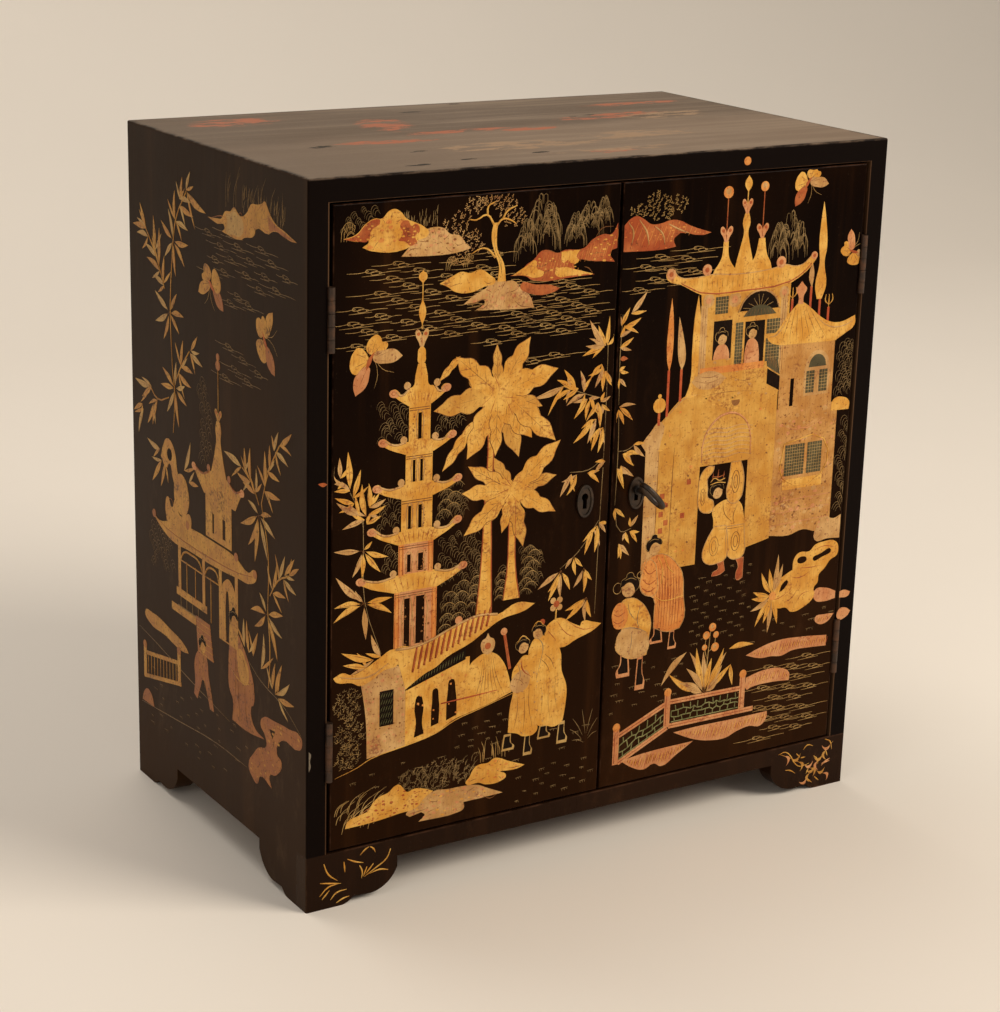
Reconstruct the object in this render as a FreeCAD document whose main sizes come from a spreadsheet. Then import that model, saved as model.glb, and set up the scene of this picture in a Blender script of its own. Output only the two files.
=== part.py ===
import FreeCAD, Part
import math
import os
from types import SimpleNamespace

import Sketcher

# Table cabinet: a dovetailed box on bracket feet with two inset doors on butt hinges.
# Millimetres, +Z up, front towards -Y, origin on the table under the middle of the carcass.

sizes = {
    # carcass
    "overall_width": 420,
    "overall_depth": 250,
    "overall_height": 449,
    "side_thickness": 13.5,
    "top_thickness": 14,
    "bottom_thickness": 12,
    "back_thickness": 7,
    "shelf_thickness": 9,
    "shelf_height": 198,
    "shelf_setback": 0.5,
    "housing_depth": 5,
    "rebate_depth": 6,
    "corner_round": 1.2,
    "front_board_width": 125,
    "tail_count": 6,
    "pin_width": 8,
    "tail_flare": 2,
    "back_joint_height": 236,
    "back_lap": 8,
    # plinth and bracket feet
    "plinth_thickness": 13,
    "plinth_height": 36.4,
    "rail_height": 12,
    "foot_length": 63.5,
    "pad_length": 32.5,
    "pad_round": 9,
    "cusp_height": 4.2,
    "lobe_reach": 18.5,
    "lobe_low": 3.4,
    "lobe_height": 17.5,
    "lobe_bulge": 3.4,
    "block_width": 22,
    "block_lift": 5,
    # doors
    "door_thickness": 14,
    "door_gap": 1.3,
    "meeting_gap": 1.8,
    "meeting_offset": 2.9,
    "hinge_gap": 2.6,
    "door_edge_round": 1.2,
    # butt hinges
    "hinge_length": 38,
    "hinge_inset": 65.7,
    "leaf_thickness": 1,
    "leaf_width": 12,
    "knuckle_radius": 2.2,
    "knuckle_gap": 0.3,
    "hinge_pin_radius": 1.1,
    "axis_proud": 0.6,
    "running_clearance": 0.05,
    "swing_clearance": 0.3,
    "screw_radius": 1.1,
    "screw_head_radius": 2.1,
    "screw_length": 9,
    "screw_point": 2.5,
    "screw_pitch": 22,
    "screw_setback": 4.6,
    "screw_fit": 0.05,
    # cut lock in the right door
    "lock_height": 238.8,
    "lock_backset": 19.5,
    "lock_length": 36,
    "lock_above": 14,
    "lock_below": 24,
    "lock_depth": 10,
    "lock_plate": 1.5,
    "lock_wall": 1,
    "lock_fit": 0.1,
    "bolt_thickness": 4,
    "bolt_top": 4,
    "bolt_bottom": 12,
    "bolt_length": 28,
    "bolt_throw": 7,
    "bolt_clearance": 0.3,
    "talon_width": 4.8,
    "talon_depth": 3.6,
    "strike_margin": 5,
    # key
    "key_radius": 2,
    "key_bit_reach": 7,
    "key_bit_thickness": 2.4,
    "key_turned_back": 41.6,
    "key_bow_offset": 18,
    "drill_pin_radius": 1,
    "drill_pin_length": 8,
    "bow_width": 24.5,
    "bow_depth": 15.5,
    "bow_wire_radius": 1.75,
    "collar_radius": 3.2,
    "collar_length": 2,
    # escutcheons and keyholes
    "escutcheon_height": 21,
    "escutcheon_width": 12,
    "escutcheon_thickness": 1.6,
    "escutcheon_rim": 1.5,
    "escutcheon_dish": 0.7,
    "eye_rise": 2.5,
    "keyhole_radius": 2.4,
    "keyhole_slot": 3,
    "keyhole_drop": 7.6,
    "blind_keyhole_depth": 4,
    # slide bolts inside the left door
    "slide_inset": 14,
    "slide_width": 6,
    "slide_thickness": 3,
    "slide_length": 44,
    "slide_throw": 9,
    "slide_clearance": 0.2,
    "slide_end_gap": 0.5,
    "slide_plate_width": 14,
    "slide_plate_length": 40,
    "slide_plate_thickness": 1.2,
    "staple_wall": 1.4,
    "staple_length": 4,
    "staple_inset": 3,
    "knob_radius": 2.4,
    "knob_length": 4,
    "keeper_thickness": 1.2,
    "keeper_margin": 3,
}

doc = FreeCAD.newDocument("table_cabinet")
sheet = doc.addObject("Spreadsheet::Sheet", "Sizes")
for row, (alias, number) in enumerate(sizes.items(), start=1):
    sheet.set(f"A{row}", alias)
    sheet.set(f"B{row}", str(number))
    sheet.setAlias(f"B{row}", alias)
doc.recompute()

vector = FreeCAD.Vector
xAxis = vector(1, 0, 0)
yAxis = vector(0, 1, 0)
zAxis = vector(0, 0, 1)
nodes = {}


class Term:
    # A length that knows its value now and the text that binds it to the sheet.
    def __init__(self, value, text):
        self.value = value
        self.text = text

    def __add__(self, other):
        other = term(other)
        return Term(self.value + other.value, f"({self.text} + {other.text})")

    def __sub__(self, other):
        other = term(other)
        return Term(self.value - other.value, f"({self.text} - {other.text})")

    def __mul__(self, other):
        other = term(other)
        return Term(self.value * other.value, f"({self.text} * {other.text})")

    def __truediv__(self, other):
        other = term(other)
        return Term(self.value / other.value, f"({self.text} / {other.text})")

    def __neg__(self):
        return Term(-self.value, f"(0 - {self.text})")


def term(item):
    return item if isinstance(item, Term) else Term(item, f"({item})")


d = SimpleNamespace(**{alias: Term(number, f"Sizes.{alias}") for alias, number in sizes.items()})


# Primitives and booleans

turns = {
    "+x": FreeCAD.Rotation(yAxis, 90),
    "-x": FreeCAD.Rotation(yAxis, -90),
    "+y": FreeCAD.Rotation(xAxis, -90),
    "-y": FreeCAD.Rotation(xAxis, 90),
    "+z": FreeCAD.Rotation(),
}


def bind(piece, **lengths):
    for name, length in lengths.items():
        piece.setExpression(name, term(length).text)
    return piece


def place(piece, x, y, z, rotation=None):
    if rotation:
        piece.Placement.Rotation = rotation
    for name, length in zip("xyz", (x, y, z)):
        piece.setExpression(f"Placement.Base.{name}", term(length).text)
    return piece


def box(name, low, high):
    piece = doc.addObject("Part::Box", name)
    edges = [term(end) - start for start, end in zip(low, high)]
    bind(piece, Length=edges[0], Width=edges[1], Height=edges[2])
    return place(piece, *low)


def rod(name, start, direction, radius, length):
    piece = bind(doc.addObject("Part::Cylinder", name), Radius=radius, Height=length)
    return place(piece, *start, turns[direction])


def taper(name, start, direction, firstRadius, lastRadius, length):
    piece = doc.addObject("Part::Cone", name)
    bind(piece, Radius1=firstRadius, Radius2=lastRadius, Height=length)
    return place(piece, *start, turns[direction])


def fuse(name, pieces):
    joined = doc.addObject("Part::MultiFuse", name)
    joined.Shapes = pieces
    joined.Refine = True
    return joined


def cut(name, base, tools):
    made = doc.addObject("Part::Cut", name)
    made.Base = base
    made.Tool = tools[0] if len(tools) == 1 else fuse(f"{name}_cuts", tools)
    made.Refine = True
    return made


def common(name, first, second):
    made = doc.addObject("Part::Common", name)
    made.Base = first
    made.Tool = second
    made.Refine = True
    return made


def group(name, pieces):
    made = doc.addObject("Part::Compound", name)
    made.Links = pieces
    return made


def node(piece, solids=1):
    nodes[piece.Label] = (piece, solids)
    return piece


# Sketched bodies

def bulge(start, end, radius):
    # The shorter counter-clockwise arc of this radius from start to end.
    chord = end - start
    rise = math.sqrt(radius**2 - chord.Length**2 / 4)
    centre = (start + end) * 0.5 + vector(-chord.y, chord.x, 0).normalize() * rise
    first = math.atan2(start.y - centre.y, start.x - centre.x)
    last = math.atan2(end.y - centre.y, end.x - centre.x)
    if last < first:
        last += 2 * math.pi
    return Part.ArcOfCircle(Part.Circle(centre, zAxis, radius), first, last)


def drive(sketch, constraint, length):
    index = sketch.addConstraint(constraint)
    sketch.setExpression(f"Constraints[{index}]", length.text)


def outline(body, role, corners):
    # A closed outline on one of the body's own planes. A corner is (across, up), or
    # (across, up, radius) where the stretch after it is an arc.
    sketch = body.newObject("Sketcher::SketchObject", f"{body.Name}_outline")
    plane = next(item for item in body.Origin.OriginFeatures if item.Role == role)
    sketch.AttachmentSupport = [(plane, "")]
    sketch.MapMode = "FlatFace"
    corners = [[term(length) for length in corner] for corner in corners]
    points = [vector(corner[0].value, corner[1].value, 0) for corner in corners]
    for index, corner in enumerate(corners):
        start, end = points[index], points[(index + 1) % len(points)]
        if len(corner) == 3:
            sketch.addGeometry(bulge(start, end, corner[2].value), False)
        else:
            sketch.addGeometry(Part.LineSegment(start, end), False)
    for index in range(len(corners)):
        following = (index + 1) % len(corners)
        sketch.addConstraint(Sketcher.Constraint("Coincident", index, 2, following, 1))
    for index, corner in enumerate(corners):
        for kind, line, length in (("DistanceX", -2, corner[0]), ("DistanceY", -1, corner[1])):
            if length.value == 0:
                sketch.addConstraint(Sketcher.Constraint("PointOnObject", index, 1, line))
            else:
                held = Sketcher.Constraint(kind, -1, 1, index, 1, length.value)
                drive(sketch, held, length)
        if len(corner) == 3:
            drive(sketch, Sketcher.Constraint("Radius", index, corner[2].value), corner[2])
    return sketch


def shaped(name, role, corners, thickness, base, rotation=None, reverse=False):
    # A body with one padded outline. Pads on the XZ plane are reversed, to run towards +Y.
    body = doc.addObject("PartDesign::Body", name)
    pad = body.newObject("PartDesign::Pad", f"{name}_pad")
    pad.Profile = outline(body, role, corners)
    pad.Reversed = reverse
    bind(pad, Length=thickness)
    place(body, *base, rotation)
    return body


def rectangle(across, up):
    return [(0, 0), (across, 0), (across, up), (0, up)]


def rounded(body, radius, wanted):
    # Fillets the pad's edges whose end points all pass the wanted test.
    doc.recompute()
    pad = body.Tip
    edges = [
        f"Edge{index}"
        for index, edge in enumerate(pad.Shape.Edges, start=1)
        if wanted([corner.Point for corner in edge.Vertexes])
    ]
    fillet = body.newObject("PartDesign::Fillet", f"{body.Name}_fillet")
    fillet.Base = (pad, edges)
    bind(fillet, Radius=radius)
    return body


# Planes that the pieces share

half = d.overall_width / 2
front = -d.overall_depth / 2
back = d.overall_depth / 2
inner = half - d.side_thickness
ceiling = d.overall_height - d.top_thickness
underside = d.plinth_height - d.bottom_thickness
apron = d.plinth_height - d.rail_height
backFace = back - d.back_thickness
doorBack = front + d.door_thickness
doorLow = d.plinth_height + d.door_gap
doorHigh = ceiling - d.door_gap
leftEdge = d.meeting_offset - d.meeting_gap / 2
rightEdge = d.meeting_offset + d.meeting_gap / 2
hingeX = inner - d.hinge_gap / 2
hingeY = front - d.axis_proud
hingeHeights = {"upper": doorHigh - d.hinge_inset, "lower": doorLow + d.hinge_inset}
doorSides = {"left": -1, "right": 1}


def across(side, near, far):
    # Low and high x of a stretch that lies near to far from the middle plane, on one side of it.
    near, far = term(near), term(far)
    return (near, far) if side > 0 else (-far, -near)


def outward(side):
    return "+x" if side > 0 else "-x"


# Butt hinges and their screws

def screw(name, x, y, z, direction):
    head = taper(f"{name}_head", (x, y, z), direction, d.screw_head_radius, d.screw_radius, d.leaf_thickness)
    step = 1 if direction == "+x" else -1
    shankX = x + d.leaf_thickness * step
    shankLength = d.screw_length - d.leaf_thickness - d.screw_point
    shank = rod(f"{name}_shank", (shankX, y, z), direction, d.screw_radius, shankLength)
    pointX = shankX + shankLength * step
    point = taper(f"{name}_point", (pointX, y, z), direction, d.screw_radius, 0.2, d.screw_point)
    return fuse(name, [head, shank, point])


def hinge(place_, name, side):
    # Two leaves with interleaved knuckles on one pin, and the screws through each leaf.
    title = f"{name}_{place_}"
    middle = hingeHeights[place_]
    low = middle - d.hinge_length / 2
    axisX = hingeX * side
    knuckle = (d.hinge_length - d.knuckle_gap * 4) / 5
    starts = [low + (knuckle + d.knuckle_gap) * index for index in range(5)]
    leaves = {
        "frame": (
            across(side, inner - d.leaf_thickness, inner),
            (0, 2, 4),
            outward(side),
            inner - d.leaf_thickness,
        ),
        "door": (
            across(side, inner - d.hinge_gap, inner - d.hinge_gap + d.leaf_thickness),
            (1, 3),
            outward(-side),
            inner - d.hinge_gap + d.leaf_thickness,
        ),
    }
    made = {}
    for part, (span, own, direction, face) in leaves.items():
        label = f"{title}_{part}"
        plate = box(
            f"{label}_plate",
            (span[0], hingeY, low),
            (span[1], hingeY + d.leaf_width, low + d.hinge_length),
        )
        slots = [
            rod(
                f"{label}_slot{index}",
                (axisX, hingeY, starts[index] - d.knuckle_gap),
                "+z",
                d.knuckle_radius + d.swing_clearance,
                knuckle + d.knuckle_gap * 2,
            )
            for index in range(5)
            if index not in own
        ]
        barrels = [
            rod(f"{label}_knuckle{index}", (axisX, hingeY, starts[index]), "+z", d.knuckle_radius, knuckle)
            for index in own
        ]
        blank = fuse(f"{label}_blank", [cut(f"{label}_slotted", plate, slots), *barrels])
        bore = rod(
            f"{label}_bore",
            (axisX, hingeY, low),
            "+z",
            d.hinge_pin_radius + d.running_clearance,
            d.hinge_length,
        )
        screwY = hingeY + d.leaf_width - d.screw_setback
        screwHeights = [middle - d.screw_pitch / 2, middle + d.screw_pitch / 2]
        sinks = [
            taper(
                f"{label}_sink{index}",
                (face * side, screwY, height),
                direction,
                d.screw_head_radius + d.screw_fit,
                d.screw_radius + d.screw_fit,
                d.leaf_thickness,
            )
            for index, height in enumerate(screwHeights)
        ]
        node(cut(f"hinge_{part}_leaf_{title}", blank, [bore, *sinks]))
        made[part] = {
            "screws": [
                screw(f"{label}_screw{index}", face * side, screwY, height, direction)
                for index, height in enumerate(screwHeights)
            ],
            "pilots": [
                rod(
                    f"{label}_pilot{index}",
                    (face * side, screwY, height),
                    direction,
                    d.screw_radius + d.screw_fit,
                    d.screw_length + d.screw_fit,
                )
                for index, height in enumerate(screwHeights)
            ],
        }
    made["notch"] = rod(
        f"{title}_notch",
        (axisX, hingeY, low - d.swing_clearance),
        "+z",
        d.knuckle_radius + d.swing_clearance,
        d.hinge_length + d.swing_clearance * 2,
    )
    node(rod(f"hinge_pin_{title}", (axisX, hingeY, low), "+z", d.hinge_pin_radius, d.hinge_length))
    return made


hinges = {
    name: [hinge(place_, name, side) for place_ in hingeHeights]
    for name, side in doorSides.items()
}
frameScrews = [item for pair in hinges.values() for made in pair for item in made["frame"]["screws"]]
node(group("hinge_screws_frame", frameScrews), len(frameScrews))
for name, pair in hinges.items():
    doorScrews = [item for made in pair for item in made["door"]["screws"]]
    node(group(f"hinge_screws_{name}_door", doorScrews), len(doorScrews))


# Carcass

softBlock = rounded(
    shaped(
        "soft_block",
        "XY_Plane",
        rectangle(d.overall_width, d.overall_depth),
        d.overall_height,
        (-half, front, 0),
    ),
    d.corner_round,
    lambda ends: any(point.z > 0 for point in ends),
)

padRadius = (d.pad_round * d.pad_round + d.cusp_height * d.cusp_height) / (d.cusp_height * 2)
lobeRise = d.lobe_height - d.lobe_low
lobeChord = d.lobe_reach * d.lobe_reach + lobeRise * lobeRise
lobeRadius = lobeChord / (d.lobe_bulge * 8) + d.lobe_bulge / 2


def footing(length, start):
    # Lower edge of a board of this length with a shaped bracket foot at each end.
    return [
        (start, 0),
        (d.pad_length - d.pad_round, 0, padRadius),
        (d.pad_length, d.cusp_height),
        (d.foot_length - d.lobe_reach, d.lobe_low, lobeRadius),
        (d.foot_length, d.lobe_height),
        (d.foot_length, apron),
        (length - d.foot_length, apron),
        (length - d.foot_length, d.lobe_height, lobeRadius),
        (length - d.foot_length + d.lobe_reach, d.lobe_low),
        (length - d.pad_length, d.cusp_height, padRadius),
        (length - d.pad_length + d.pad_round, 0),
        (length, 0),
    ]


tailPitch = d.overall_depth / d.tail_count
tailWide = tailPitch - d.pin_width
tailNarrow = tailWide - d.tail_flare * 2


def tails(name, side):
    # The top's dovetails over one side: narrow at the side's inner face, wide at its outer face.
    made = []
    for index in range(int(d.tail_count.value)):
        tail = doc.addObject("Part::Wedge", f"{name}_tail{index}")
        bind(tail, Xmin=-tailNarrow / 2, Xmax=tailNarrow / 2, X2min=-tailWide / 2, X2max=tailWide / 2)
        bind(tail, Ymin=0, Ymax=d.side_thickness)
        bind(tail, Zmin=0, Zmax=d.top_thickness, Z2min=0, Z2max=d.top_thickness)
        y = front + tailPitch * (index + 0.5)
        made.append(place(tail, inner * side, y, ceiling, FreeCAD.Rotation(zAxis, -90 * side)))
    return made


def sideBoard(name, side, tailTools):
    profile = footing(d.overall_depth, d.plinth_thickness) + [
        (d.overall_depth, d.overall_height),
        (0, d.overall_height),
        (0, d.plinth_height),
        (d.plinth_thickness, d.plinth_height),
    ]
    low = across(side, inner, half)[0]
    blank = shaped(f"{name}_blank", "YZ_Plane", profile, d.side_thickness, (low, front, 0))
    housing = across(side, inner, inner + d.housing_depth)
    rebate = across(side, inner, inner + d.rebate_depth)
    shelfTop = d.shelf_height + d.shelf_thickness
    tools = [
        box(f"{name}_rebate", (rebate[0], backFace, underside), (rebate[1], back, ceiling)),
        box(
            f"{name}_floor_housing",
            (housing[0], front + d.plinth_thickness, underside),
            (housing[1], backFace, d.plinth_height),
        ),
        box(
            f"{name}_shelf_housing",
            (housing[0], doorBack + d.shelf_setback, d.shelf_height),
            (housing[1], backFace, shelfTop),
        ),
        *tailTools,
    ]
    for made in hinges[name]:
        tools += [made["notch"], *made["frame"]["pilots"]]
    node(common(f"{name}_side", cut(f"{name}_jointed", blank, tools), softBlock))


sideTails = {name: tails(name, side) for name, side in doorSides.items()}
for name, side in doorSides.items():
    sideBoard(name, side, sideTails[name])

plinthProfile = footing(d.overall_width, 0) + [(d.overall_width, d.plinth_height), (0, d.plinth_height)]
plinthBlank = shaped(
    "plinth_blank",
    "XZ_Plane",
    plinthProfile,
    d.plinth_thickness,
    (-half, front, 0),
    reverse=True,
)
plinthSoft = common("plinth_softened", plinthBlank, softBlock)

blockTurns = {
    "front_left": (-inner, front + d.plinth_thickness, 0),
    "front_right": (inner, front + d.plinth_thickness, 90),
    "back_right": (inner, backFace, 180),
    "back_left": (-inner, backFace, 270),
}
for name, (x, y, turn) in blockTurns.items():
    triangle = [(0, 0), (d.block_width, 0), (0, d.block_width)]
    base = (x, y, d.block_lift)
    rotation = FreeCAD.Rotation(zAxis, turn)
    node(shaped(f"foot_block_{name}", "XY_Plane", triangle, underside - d.block_lift, base, rotation))

housed = inner + d.housing_depth
node(
    box(
        "shelf",
        (-housed, doorBack + d.shelf_setback, d.shelf_height),
        (housed, backFace, d.shelf_height + d.shelf_thickness),
    )
)

rebated = inner + d.rebate_depth
backMiddle = back - d.back_thickness / 2
lapTop = d.back_joint_height + d.back_lap
lowerBoard = box("back_lower_blank", (-rebated, backFace, underside), (rebated, back, lapTop))
lowerStep = box("back_lower_step", (-rebated, backFace, d.back_joint_height), (rebated, backMiddle, lapTop))
node(cut("back_lower_board", lowerBoard, [lowerStep]))
upperBoard = box("back_upper_blank", (-rebated, backFace, d.back_joint_height), (rebated, back, ceiling))
upperStep = box("back_upper_step", (-rebated, backMiddle, d.back_joint_height), (rebated, back, lapTop))
node(cut("back_upper_board", upperBoard, [upperStep]))


# Slide bolts inside the left door, one shooting up and one down

slideX = leftEdge - d.slide_inset
slidePlateBack = doorBack + d.slide_plate_thickness
slideFace = slidePlateBack + d.slide_clearance
slideBack = slideFace + d.slide_thickness
slideHalf = d.slide_width / 2
channelHalf = slideHalf + d.slide_clearance
channelBack = slideBack + d.slide_clearance


def upwards(way, edge, near, far):
    # Low and high z of a stretch near to far inside a door edge, for the upper (1) or lower (-1) bolt.
    near, far = term(near), term(far)
    return (edge - far, edge - near) if way > 0 else (edge + near, edge + far)


def slideBolt(name, way, edge, boardFace):
    plateHalf = d.slide_plate_width / 2
    plateZ = upwards(way, edge, 0, d.slide_plate_length)
    plate = box(
        f"{name}_plate_blank",
        (slideX - plateHalf, doorBack, plateZ[0]),
        (slideX + plateHalf, slidePlateBack, plateZ[1]),
    )
    stapleHalf = channelHalf + d.staple_wall
    stapleEnd = d.staple_inset + d.staple_length
    staples = []
    for index, near in enumerate((d.staple_inset, d.slide_plate_length - stapleEnd)):
        stapleZ = upwards(way, edge, near, near + d.staple_length)
        staples.append(
            box(
                f"{name}_staple{index}",
                (slideX - stapleHalf, doorBack, stapleZ[0]),
                (slideX + stapleHalf, channelBack + d.staple_wall, stapleZ[1]),
            )
        )
    channel = box(
        f"{name}_channel",
        (slideX - channelHalf, slidePlateBack, plateZ[0]),
        (slideX + channelHalf, channelBack, plateZ[1]),
    )
    node(cut(f"bolt_plate_{name}", fuse(f"{name}_plate_fused", [plate, *staples]), [channel]))

    barZ = upwards(way, edge, d.slide_end_gap, d.slide_end_gap + d.slide_length)
    bar = box(
        f"{name}_bar",
        (slideX - slideHalf, slideFace, barZ[0]),
        (slideX + slideHalf, slideBack, barZ[1]),
    )
    knobDown = d.slide_plate_length - stapleEnd - d.knob_radius - d.slide_end_gap
    knobZ = upwards(way, edge, knobDown, knobDown)[0]
    knob = rod(f"{name}_knob", (slideX, slideBack, knobZ), "+y", d.knob_radius, d.knob_length)
    node(fuse(f"door_bolt_{name}", [bar, knob]))

    keeperZ = upwards(-way, boardFace, 0, d.keeper_thickness)
    keeperHalf = channelHalf + d.keeper_margin
    keeperLow = (slideX - keeperHalf, slidePlateBack - d.keeper_margin, keeperZ[0])
    keeperHigh = (slideX + keeperHalf, channelBack + d.keeper_margin, keeperZ[1])
    recess = box(f"{name}_keeper_recess", keeperLow, keeperHigh)
    socketZ = upwards(-way, boardFace, 0, d.slide_throw)
    socket = box(
        f"{name}_socket",
        (slideX - channelHalf, slidePlateBack, socketZ[0]),
        (slideX + channelHalf, channelBack, socketZ[1]),
    )
    node(cut(f"bolt_keeper_{name}", box(f"{name}_keeper_blank", keeperLow, keeperHigh), [socket]))
    return [recess, socket]


topSockets = slideBolt("top", 1, doorHigh, ceiling)
bottomSockets = slideBolt("bottom", -1, doorLow, d.plinth_height)

floorBlank = box(
    "bottom_blank",
    (-housed, front + d.plinth_thickness, underside),
    (housed, backFace, d.plinth_height),
)
node(cut("bottom_board", floorBlank, bottomSockets))
node(cut("front_plinth", plinthSoft, bottomSockets))

topMiddle = box("top_middle", (-inner, front, ceiling), (inner, back, d.overall_height))
topBlank = fuse("top_blank", [topMiddle, *sideTails["left"], *sideTails["right"]])
topSoft = common("top_softened", topBlank, softBlock)
topJoint = front + d.front_board_width
behindJoint = box("top_behind_joint", (-half, topJoint, ceiling), (half, back, d.overall_height))
beforeJoint = box("top_before_joint", (-half, front, ceiling), (half, topJoint, d.overall_height))
node(cut("top_front_board", topSoft, [behindJoint, *topSockets]))
node(cut("top_back_board", topSoft, [beforeJoint]))


# Escutcheons and keyholes

keyX = d.meeting_offset + d.lock_backset
blindX = d.meeting_offset - d.lock_backset
caseFace = doorBack - d.lock_depth
upright = FreeCAD.Rotation(vector(1, 1, 1), 240)


def keyhole(name, x, far):
    # Round eye with a slot below it, from in front of the escutcheon to the far plane.
    near = front - d.escutcheon_thickness * 2
    eye = rod(f"{name}_eye", (x, near, d.lock_height), "+y", d.keyhole_radius, far - near)
    slot = box(
        f"{name}_slot",
        (x - d.keyhole_slot / 2, near, d.lock_height - d.keyhole_drop),
        (x + d.keyhole_slot / 2, far, d.lock_height),
    )
    return fuse(f"{name}_keyhole", [eye, slot])


def oval(name, x, y, inset, thickness):
    curve = doc.addObject("Part::Ellipse", f"{name}_curve")
    bind(curve, MajorRadius=d.escutcheon_height / 2 - inset, MinorRadius=d.escutcheon_width / 2 - inset)
    place(curve, x, y, d.lock_height - d.eye_rise, upright)
    plate = doc.addObject("Part::Extrusion", name)
    plate.Base = curve
    plate.DirMode = "Custom"
    plate.Dir = -yAxis
    plate.Solid = True
    return bind(plate, LengthFwd=thickness)


def escutcheon(name, x, hole):
    plate = oval(f"{name}_oval", x, front, 0, d.escutcheon_thickness)
    dishFace = front - d.escutcheon_thickness + d.escutcheon_dish
    dish = oval(f"{name}_dish", x, dishFace, d.escutcheon_rim, d.escutcheon_thickness)
    node(cut(f"{name}_escutcheon", plate, [dish, hole]))


rightKeyhole = keyhole("right", keyX, caseFace + d.lock_wall)
leftKeyhole = keyhole("left", blindX, front + d.blind_keyhole_depth)
escutcheon("right", keyX, rightKeyhole)
escutcheon("left", blindX, leftKeyhole)


# Cut lock: plate with selvedge and drill pin, case, bolt, strike and key

lockLow = d.lock_height - d.lock_below
lockHigh = d.lock_height + d.lock_above
lockEnd = rightEdge + d.lock_length
plateFace = doorBack - d.lock_plate
boltBack = plateFace - d.bolt_clearance
boltFace = boltBack - d.bolt_thickness
boltLow = d.lock_height - d.bolt_bottom
boltHigh = d.lock_height - d.bolt_top
selvedgeBack = rightEdge + d.lock_plate

backPlate = box("lock_back_plate", (rightEdge, plateFace, lockLow), (lockEnd, doorBack, lockHigh))
selvedge = box("lock_selvedge", (rightEdge, caseFace, lockLow), (selvedgeBack, doorBack, lockHigh))
drillPin = rod(
    "lock_drill_pin",
    (keyX, plateFace, d.lock_height),
    "-y",
    d.drill_pin_radius,
    d.drill_pin_length,
)
boltSlot = box(
    "lock_bolt_slot",
    (rightEdge, boltFace - d.bolt_clearance, boltLow - d.bolt_clearance),
    (selvedgeBack, boltBack + d.bolt_clearance, boltHigh + d.bolt_clearance),
)
plateBlank = fuse("lock_plate_blank", [backPlate, selvedge])
node(fuse("lock_plate", [cut("lock_plate_slotted", plateBlank, [boltSlot]), drillPin]))

caseBlank = box("lock_case_blank", (selvedgeBack, caseFace, lockLow), (lockEnd, plateFace, lockHigh))
caseRoom = box(
    "lock_case_room",
    (selvedgeBack, caseFace + d.lock_wall, lockLow + d.lock_wall),
    (lockEnd - d.lock_wall, plateFace, lockHigh - d.lock_wall),
)
node(cut("lock_case", caseBlank, [caseRoom, rightKeyhole]))

talonX = keyX + d.bolt_throw / 2
boltBlank = box(
    "lock_bolt_blank",
    (rightEdge + d.bolt_clearance, boltFace, boltLow),
    (rightEdge + d.bolt_length, boltBack, boltHigh),
)
talon = box(
    "lock_talon",
    (talonX - d.talon_width / 2, boltFace, boltHigh - d.talon_depth),
    (talonX + d.talon_width / 2, boltBack, boltHigh),
)
node(cut("lock_bolt", boltBlank, [talon]))

strikeFace = leftEdge - d.lock_plate
strikeLow = (strikeFace, boltFace - d.bolt_clearance * 2, boltLow - d.strike_margin)
strikeHigh = (leftEdge, doorBack, boltHigh + d.strike_margin)
boltPocket = box(
    "strike_pocket",
    (leftEdge - d.bolt_throw, boltFace - d.bolt_clearance, boltLow - d.bolt_clearance),
    (leftEdge, boltBack + d.bolt_clearance, boltHigh + d.bolt_clearance),
)
node(cut("lock_strike", box("strike_blank", strikeLow, strikeHigh), [boltPocket]))
strikeRecess = box("strike_recess", strikeLow, strikeHigh)

# The key is made upright about the Y axis, with y = 0 at the door's face and the bit hanging
# down, then set in the lock turned back to where it leaves the bolt withdrawn.
bowHeight = d.bow_width / 2 - d.bow_wire_radius
bowReach = d.bow_depth / 2 - d.bow_wire_radius
bowPath = bind(doc.addObject("Part::Ellipse", "key_bow_path"), MajorRadius=bowHeight, MinorRadius=bowReach)
place(bowPath, 0, -d.key_bow_offset, 0, FreeCAD.Rotation(yAxis, -90))
bowWire = bind(doc.addObject("Part::Circle", "key_bow_wire"), Radius=d.bow_wire_radius)
place(bowWire, 0, -d.key_bow_offset, bowHeight, turns["-y"])
bow = doc.addObject("Part::Sweep", "key_bow")
bow.Sections = [bowWire]
bow.Spine = (bowPath, ["Edge1"])
bow.Solid = True

shankStart = bowReach - d.key_bow_offset
shankEnd = d.door_thickness - d.lock_plate - d.bolt_clearance
shank = rod("key_shank", (0, shankStart, 0), "+y", d.key_radius, shankEnd - shankStart)
collarStart = -d.escutcheon_thickness - d.swing_clearance - d.collar_length
collar = rod("key_collar", (0, collarStart, 0), "+y", d.collar_radius, d.collar_length)
bitEnd = shankEnd - d.bolt_clearance
bit = box(
    "key_bit",
    (-d.key_bit_thickness / 2, bitEnd - d.bolt_thickness + d.bolt_clearance, -d.key_bit_reach),
    (d.key_bit_thickness / 2, bitEnd, 0),
)
pipeStart = d.door_thickness - d.lock_plate - d.drill_pin_length - d.bolt_clearance
pipe = rod(
    "key_pipe",
    (0, pipeStart, 0),
    "+y",
    d.drill_pin_radius + d.running_clearance,
    shankEnd - pipeStart,
)
key = cut("key", fuse("key_blank", [bow, shank, collar, bit]), [pipe])
place(key, keyX, front, d.lock_height, FreeCAD.Rotation(-yAxis, d.key_turned_back.value))
key.setExpression("Placement.Rotation.Angle", d.key_turned_back.text)
node(key)


# Doors

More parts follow.
